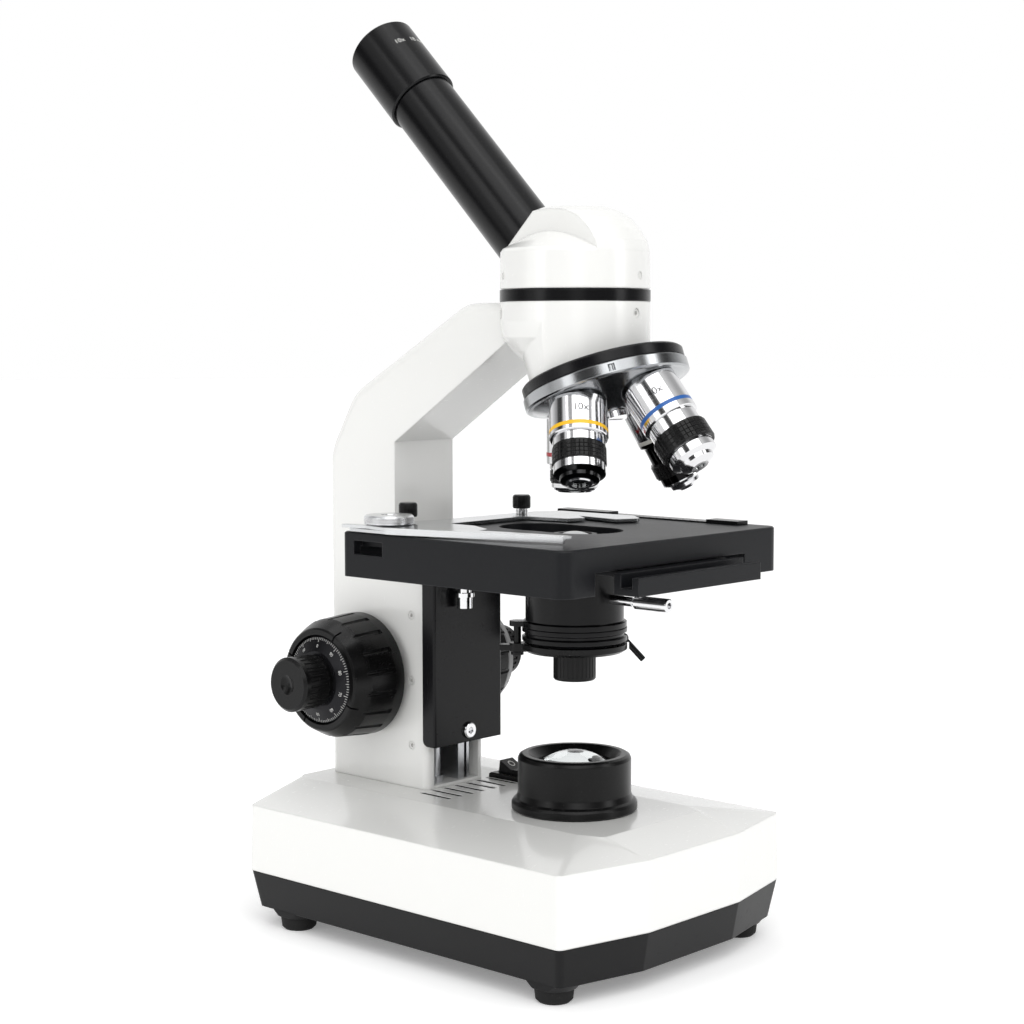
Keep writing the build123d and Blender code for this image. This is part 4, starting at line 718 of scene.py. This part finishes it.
def knurled_ring(low, high, radius, count, depth=0.4, border=0.6):
    """A ring round Z with square pads round it, from rows of faces inset and raised; sizes in mm."""
    bpy.ops.object.select_all(action="DESELECT")
    rows = max(2, round((high - low - 2 * border) / (math.tau * radius / count)))
    bpy.ops.mesh.primitive_cylinder_add(
        vertices=count, radius=(radius - depth) * MM, depth=(high - low) * MM, end_fill_type="NOTHING",
        location=(0, 0, (low + high) / 2 * MM))
    bpy.ops.object.transform_apply(location=True, rotation=False, scale=False)
    ring = bpy.context.object
    bpy.ops.object.mode_set(mode="EDIT")
    for step in range(rows + 1):
        cut = (low + border + step * (high - low - 2 * border) / rows) * MM
        bpy.ops.mesh.select_all(action="SELECT")
        bpy.ops.mesh.bisect(plane_co=(0, 0, cut), plane_no=(0, 0, 1))
    bpy.ops.mesh.select_all(action="DESELECT")
    bpy.ops.mesh.select_mode(type="FACE")
    bpy.ops.object.mode_set(mode="OBJECT")
    for face in ring.data.polygons:
        face.select = (low + border) * MM < face.center.z < (high - border) * MM
    bpy.ops.object.mode_set(mode="EDIT")
    bpy.ops.mesh.inset(thickness=depth / 2 * MM, use_individual=True)
    bpy.ops.transform.shrink_fatten(value=depth * MM)
    bpy.ops.object.mode_set(mode="OBJECT")
    wall = ring.modifiers.new("wall", "SOLIDIFY")
    wall.thickness = 3 * depth * MM
    wall.offset = -1
    bpy.ops.object.modifier_apply(modifier="wall")
    return ring


for power, (low, high, radius) in GRIPS.items():
    grip = knurled_ring(low + GRIP_GAP, high - GRIP_GAP, radius, GRIP_PADS)
    grip.matrix_world = objective_frame(power)
    settle("grip_" + power + "x", grip_black, "turret")
    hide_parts("objective_grips")

# the same knurl, finer, round the heads of the two holder screws, which stand on bright necks, and
# a satin knurled band round the holder knob
screws_low, screws_high = (Vector(corner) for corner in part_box("holder_screws"))
SCREW_R = 3.9 * MM
# how far each band's two ends stand above the screws' foot, or under the knob's top, and its
# radius, in mm
SCREW_HEAD_BAND = (2.7, 8.1, 4.1)
SCREW_NECK_BAND = (0.1, 2.5, 2.75)
KNOB_BAND = (3.4, 0.8, 10.48)
screw_spots = ((screws_low.x + SCREW_R, screws_high.y - SCREW_R),
               (screws_high.x - SCREW_R, screws_low.y + SCREW_R))
screws_foot = screws_low.z / MM
for index, (spot_x, spot_y) in enumerate(screw_spots):
    low, high, radius = SCREW_HEAD_BAND
    knurled_ring(screws_foot + low, screws_foot + high, radius, 26, depth=0.28, border=0.3)
    bpy.context.object.location = (spot_x, spot_y, 0)
    settle("holder_screw_knurl_" + str(index + 1), grip_black, "slide_holder")
    low, high, radius = SCREW_NECK_BAND
    knurled_ring(screws_foot + low, screws_foot + high, radius, 24, depth=0.1, border=0.8)
    bpy.context.object.location = (spot_x, spot_y, 0)
    settle("holder_screw_neck_" + str(index + 1), chrome, "slide_holder")
knob_low, knob_high = (Vector(corner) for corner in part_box("holder_knob"))
satin_silver = coated(finish("satin_silver", (0.62, 0.62, 0.63), 0.3, 1.0), dust=0.3, spread=0.2,
                      patch=90.0, fine=1500.0, relief=0.3, bevel=0.0002)
low, high, radius = KNOB_BAND
knurled_ring(knob_high.z / MM - low, knob_high.z / MM - high, radius, 72, depth=0.15, border=0.3)
bpy.context.object.location = ((knob_low.x + knob_high.x) / 2, (knob_low.y + knob_high.y) / 2, 0)
settle("holder_knob_knurl", satin_silver, "holder_knob")

# the magnification lettered in black round three of the barrels
engraving_black = coated(finish("engraving_black", (0.006, 0.006, 0.006), 0.6), dust=0.0, relief=0.1,
                         bevel=0.0001)
ENGRAVED = {"4": 7.2, "10": 7.0, "40": 8.2}   # how far below the shoulder, in mm
BARREL_R = 12.1 * MM
LETTER_HIGH = 4.4 * MM


def wrapped_text(words, size, radius, height, heading):
    """Flat letters wrapped round a cylinder about Z, reading round it, as a thin raised skin."""
    bpy.ops.object.select_all(action="DESELECT")
    bpy.ops.object.text_add()
    letters = bpy.context.object
    letters.data.body = words
    letters.data.size = size
    letters.data.align_x = "CENTER"
    letters.data.align_y = "CENTER"
    letters.data.extrude = 0.04 * MM
    bpy.ops.object.convert(target="MESH")
    letters = bpy.context.object
    for vertex in letters.data.vertices:
        x, y, z = vertex.co
        around = heading + x / radius
        vertex.co = ((radius + z) * math.cos(around), (radius + z) * math.sin(around), height + y)
    return letters


READ_FROM = Vector((-0.7, -0.7, 0))
for power, height in ENGRAVED.items():
    facing = objective_frame(power).to_3x3().inverted() @ READ_FROM
    heading = -math.atan2(facing.y, facing.x)
    letters = wrapped_text(power + "x", LETTER_HIGH, BARREL_R, height * MM, heading)
    letters.matrix_world = (objective_frame(power) @ Matrix.Rotation(math.radians(180), 4, "X")
                            @ Matrix.Translation((0, 0, -2 * height * MM)))
    settle("engraving_" + power + "x", engraving_black, "turret")


# ---------------------------------------------------------------------------------------------
# Head tube: the black anodised observation tube and its eyepiece, with the eyepiece's power
# lettered in white, and the small grub screws that hold the head and the turret's seat.
dress(anodised, "observation_tube", "eyepiece_barrel")
dress(painted_over, "head_screws", "collar_screws")
eyepiece_mount = next(mount for mount in frame["record"]["mounts"] if mount["name"] == "eyepiece_drum")
tube_axis = Vector(eyepiece_mount["axis"]).normalized()
tube_across = Vector((1, 0, 0))
tube_frame = Matrix.Translation(Vector(eyepiece_mount["pos_m"])) @ Matrix(
    (tube_across, tube_axis.cross(tube_across), tube_axis)).transposed().to_4x4()
EYEPIECE_R = 15.8 * MM
POWER_HIGH = 3.4 * MM
POWER_PLACE = 6.0 * MM
letters = wrapped_text("10x   18 mm", POWER_HIGH, EYEPIECE_R, POWER_PLACE, math.radians(-95))
letters.matrix_world = tube_frame
settle("eyepiece_power", mark_white, "eyepiece")
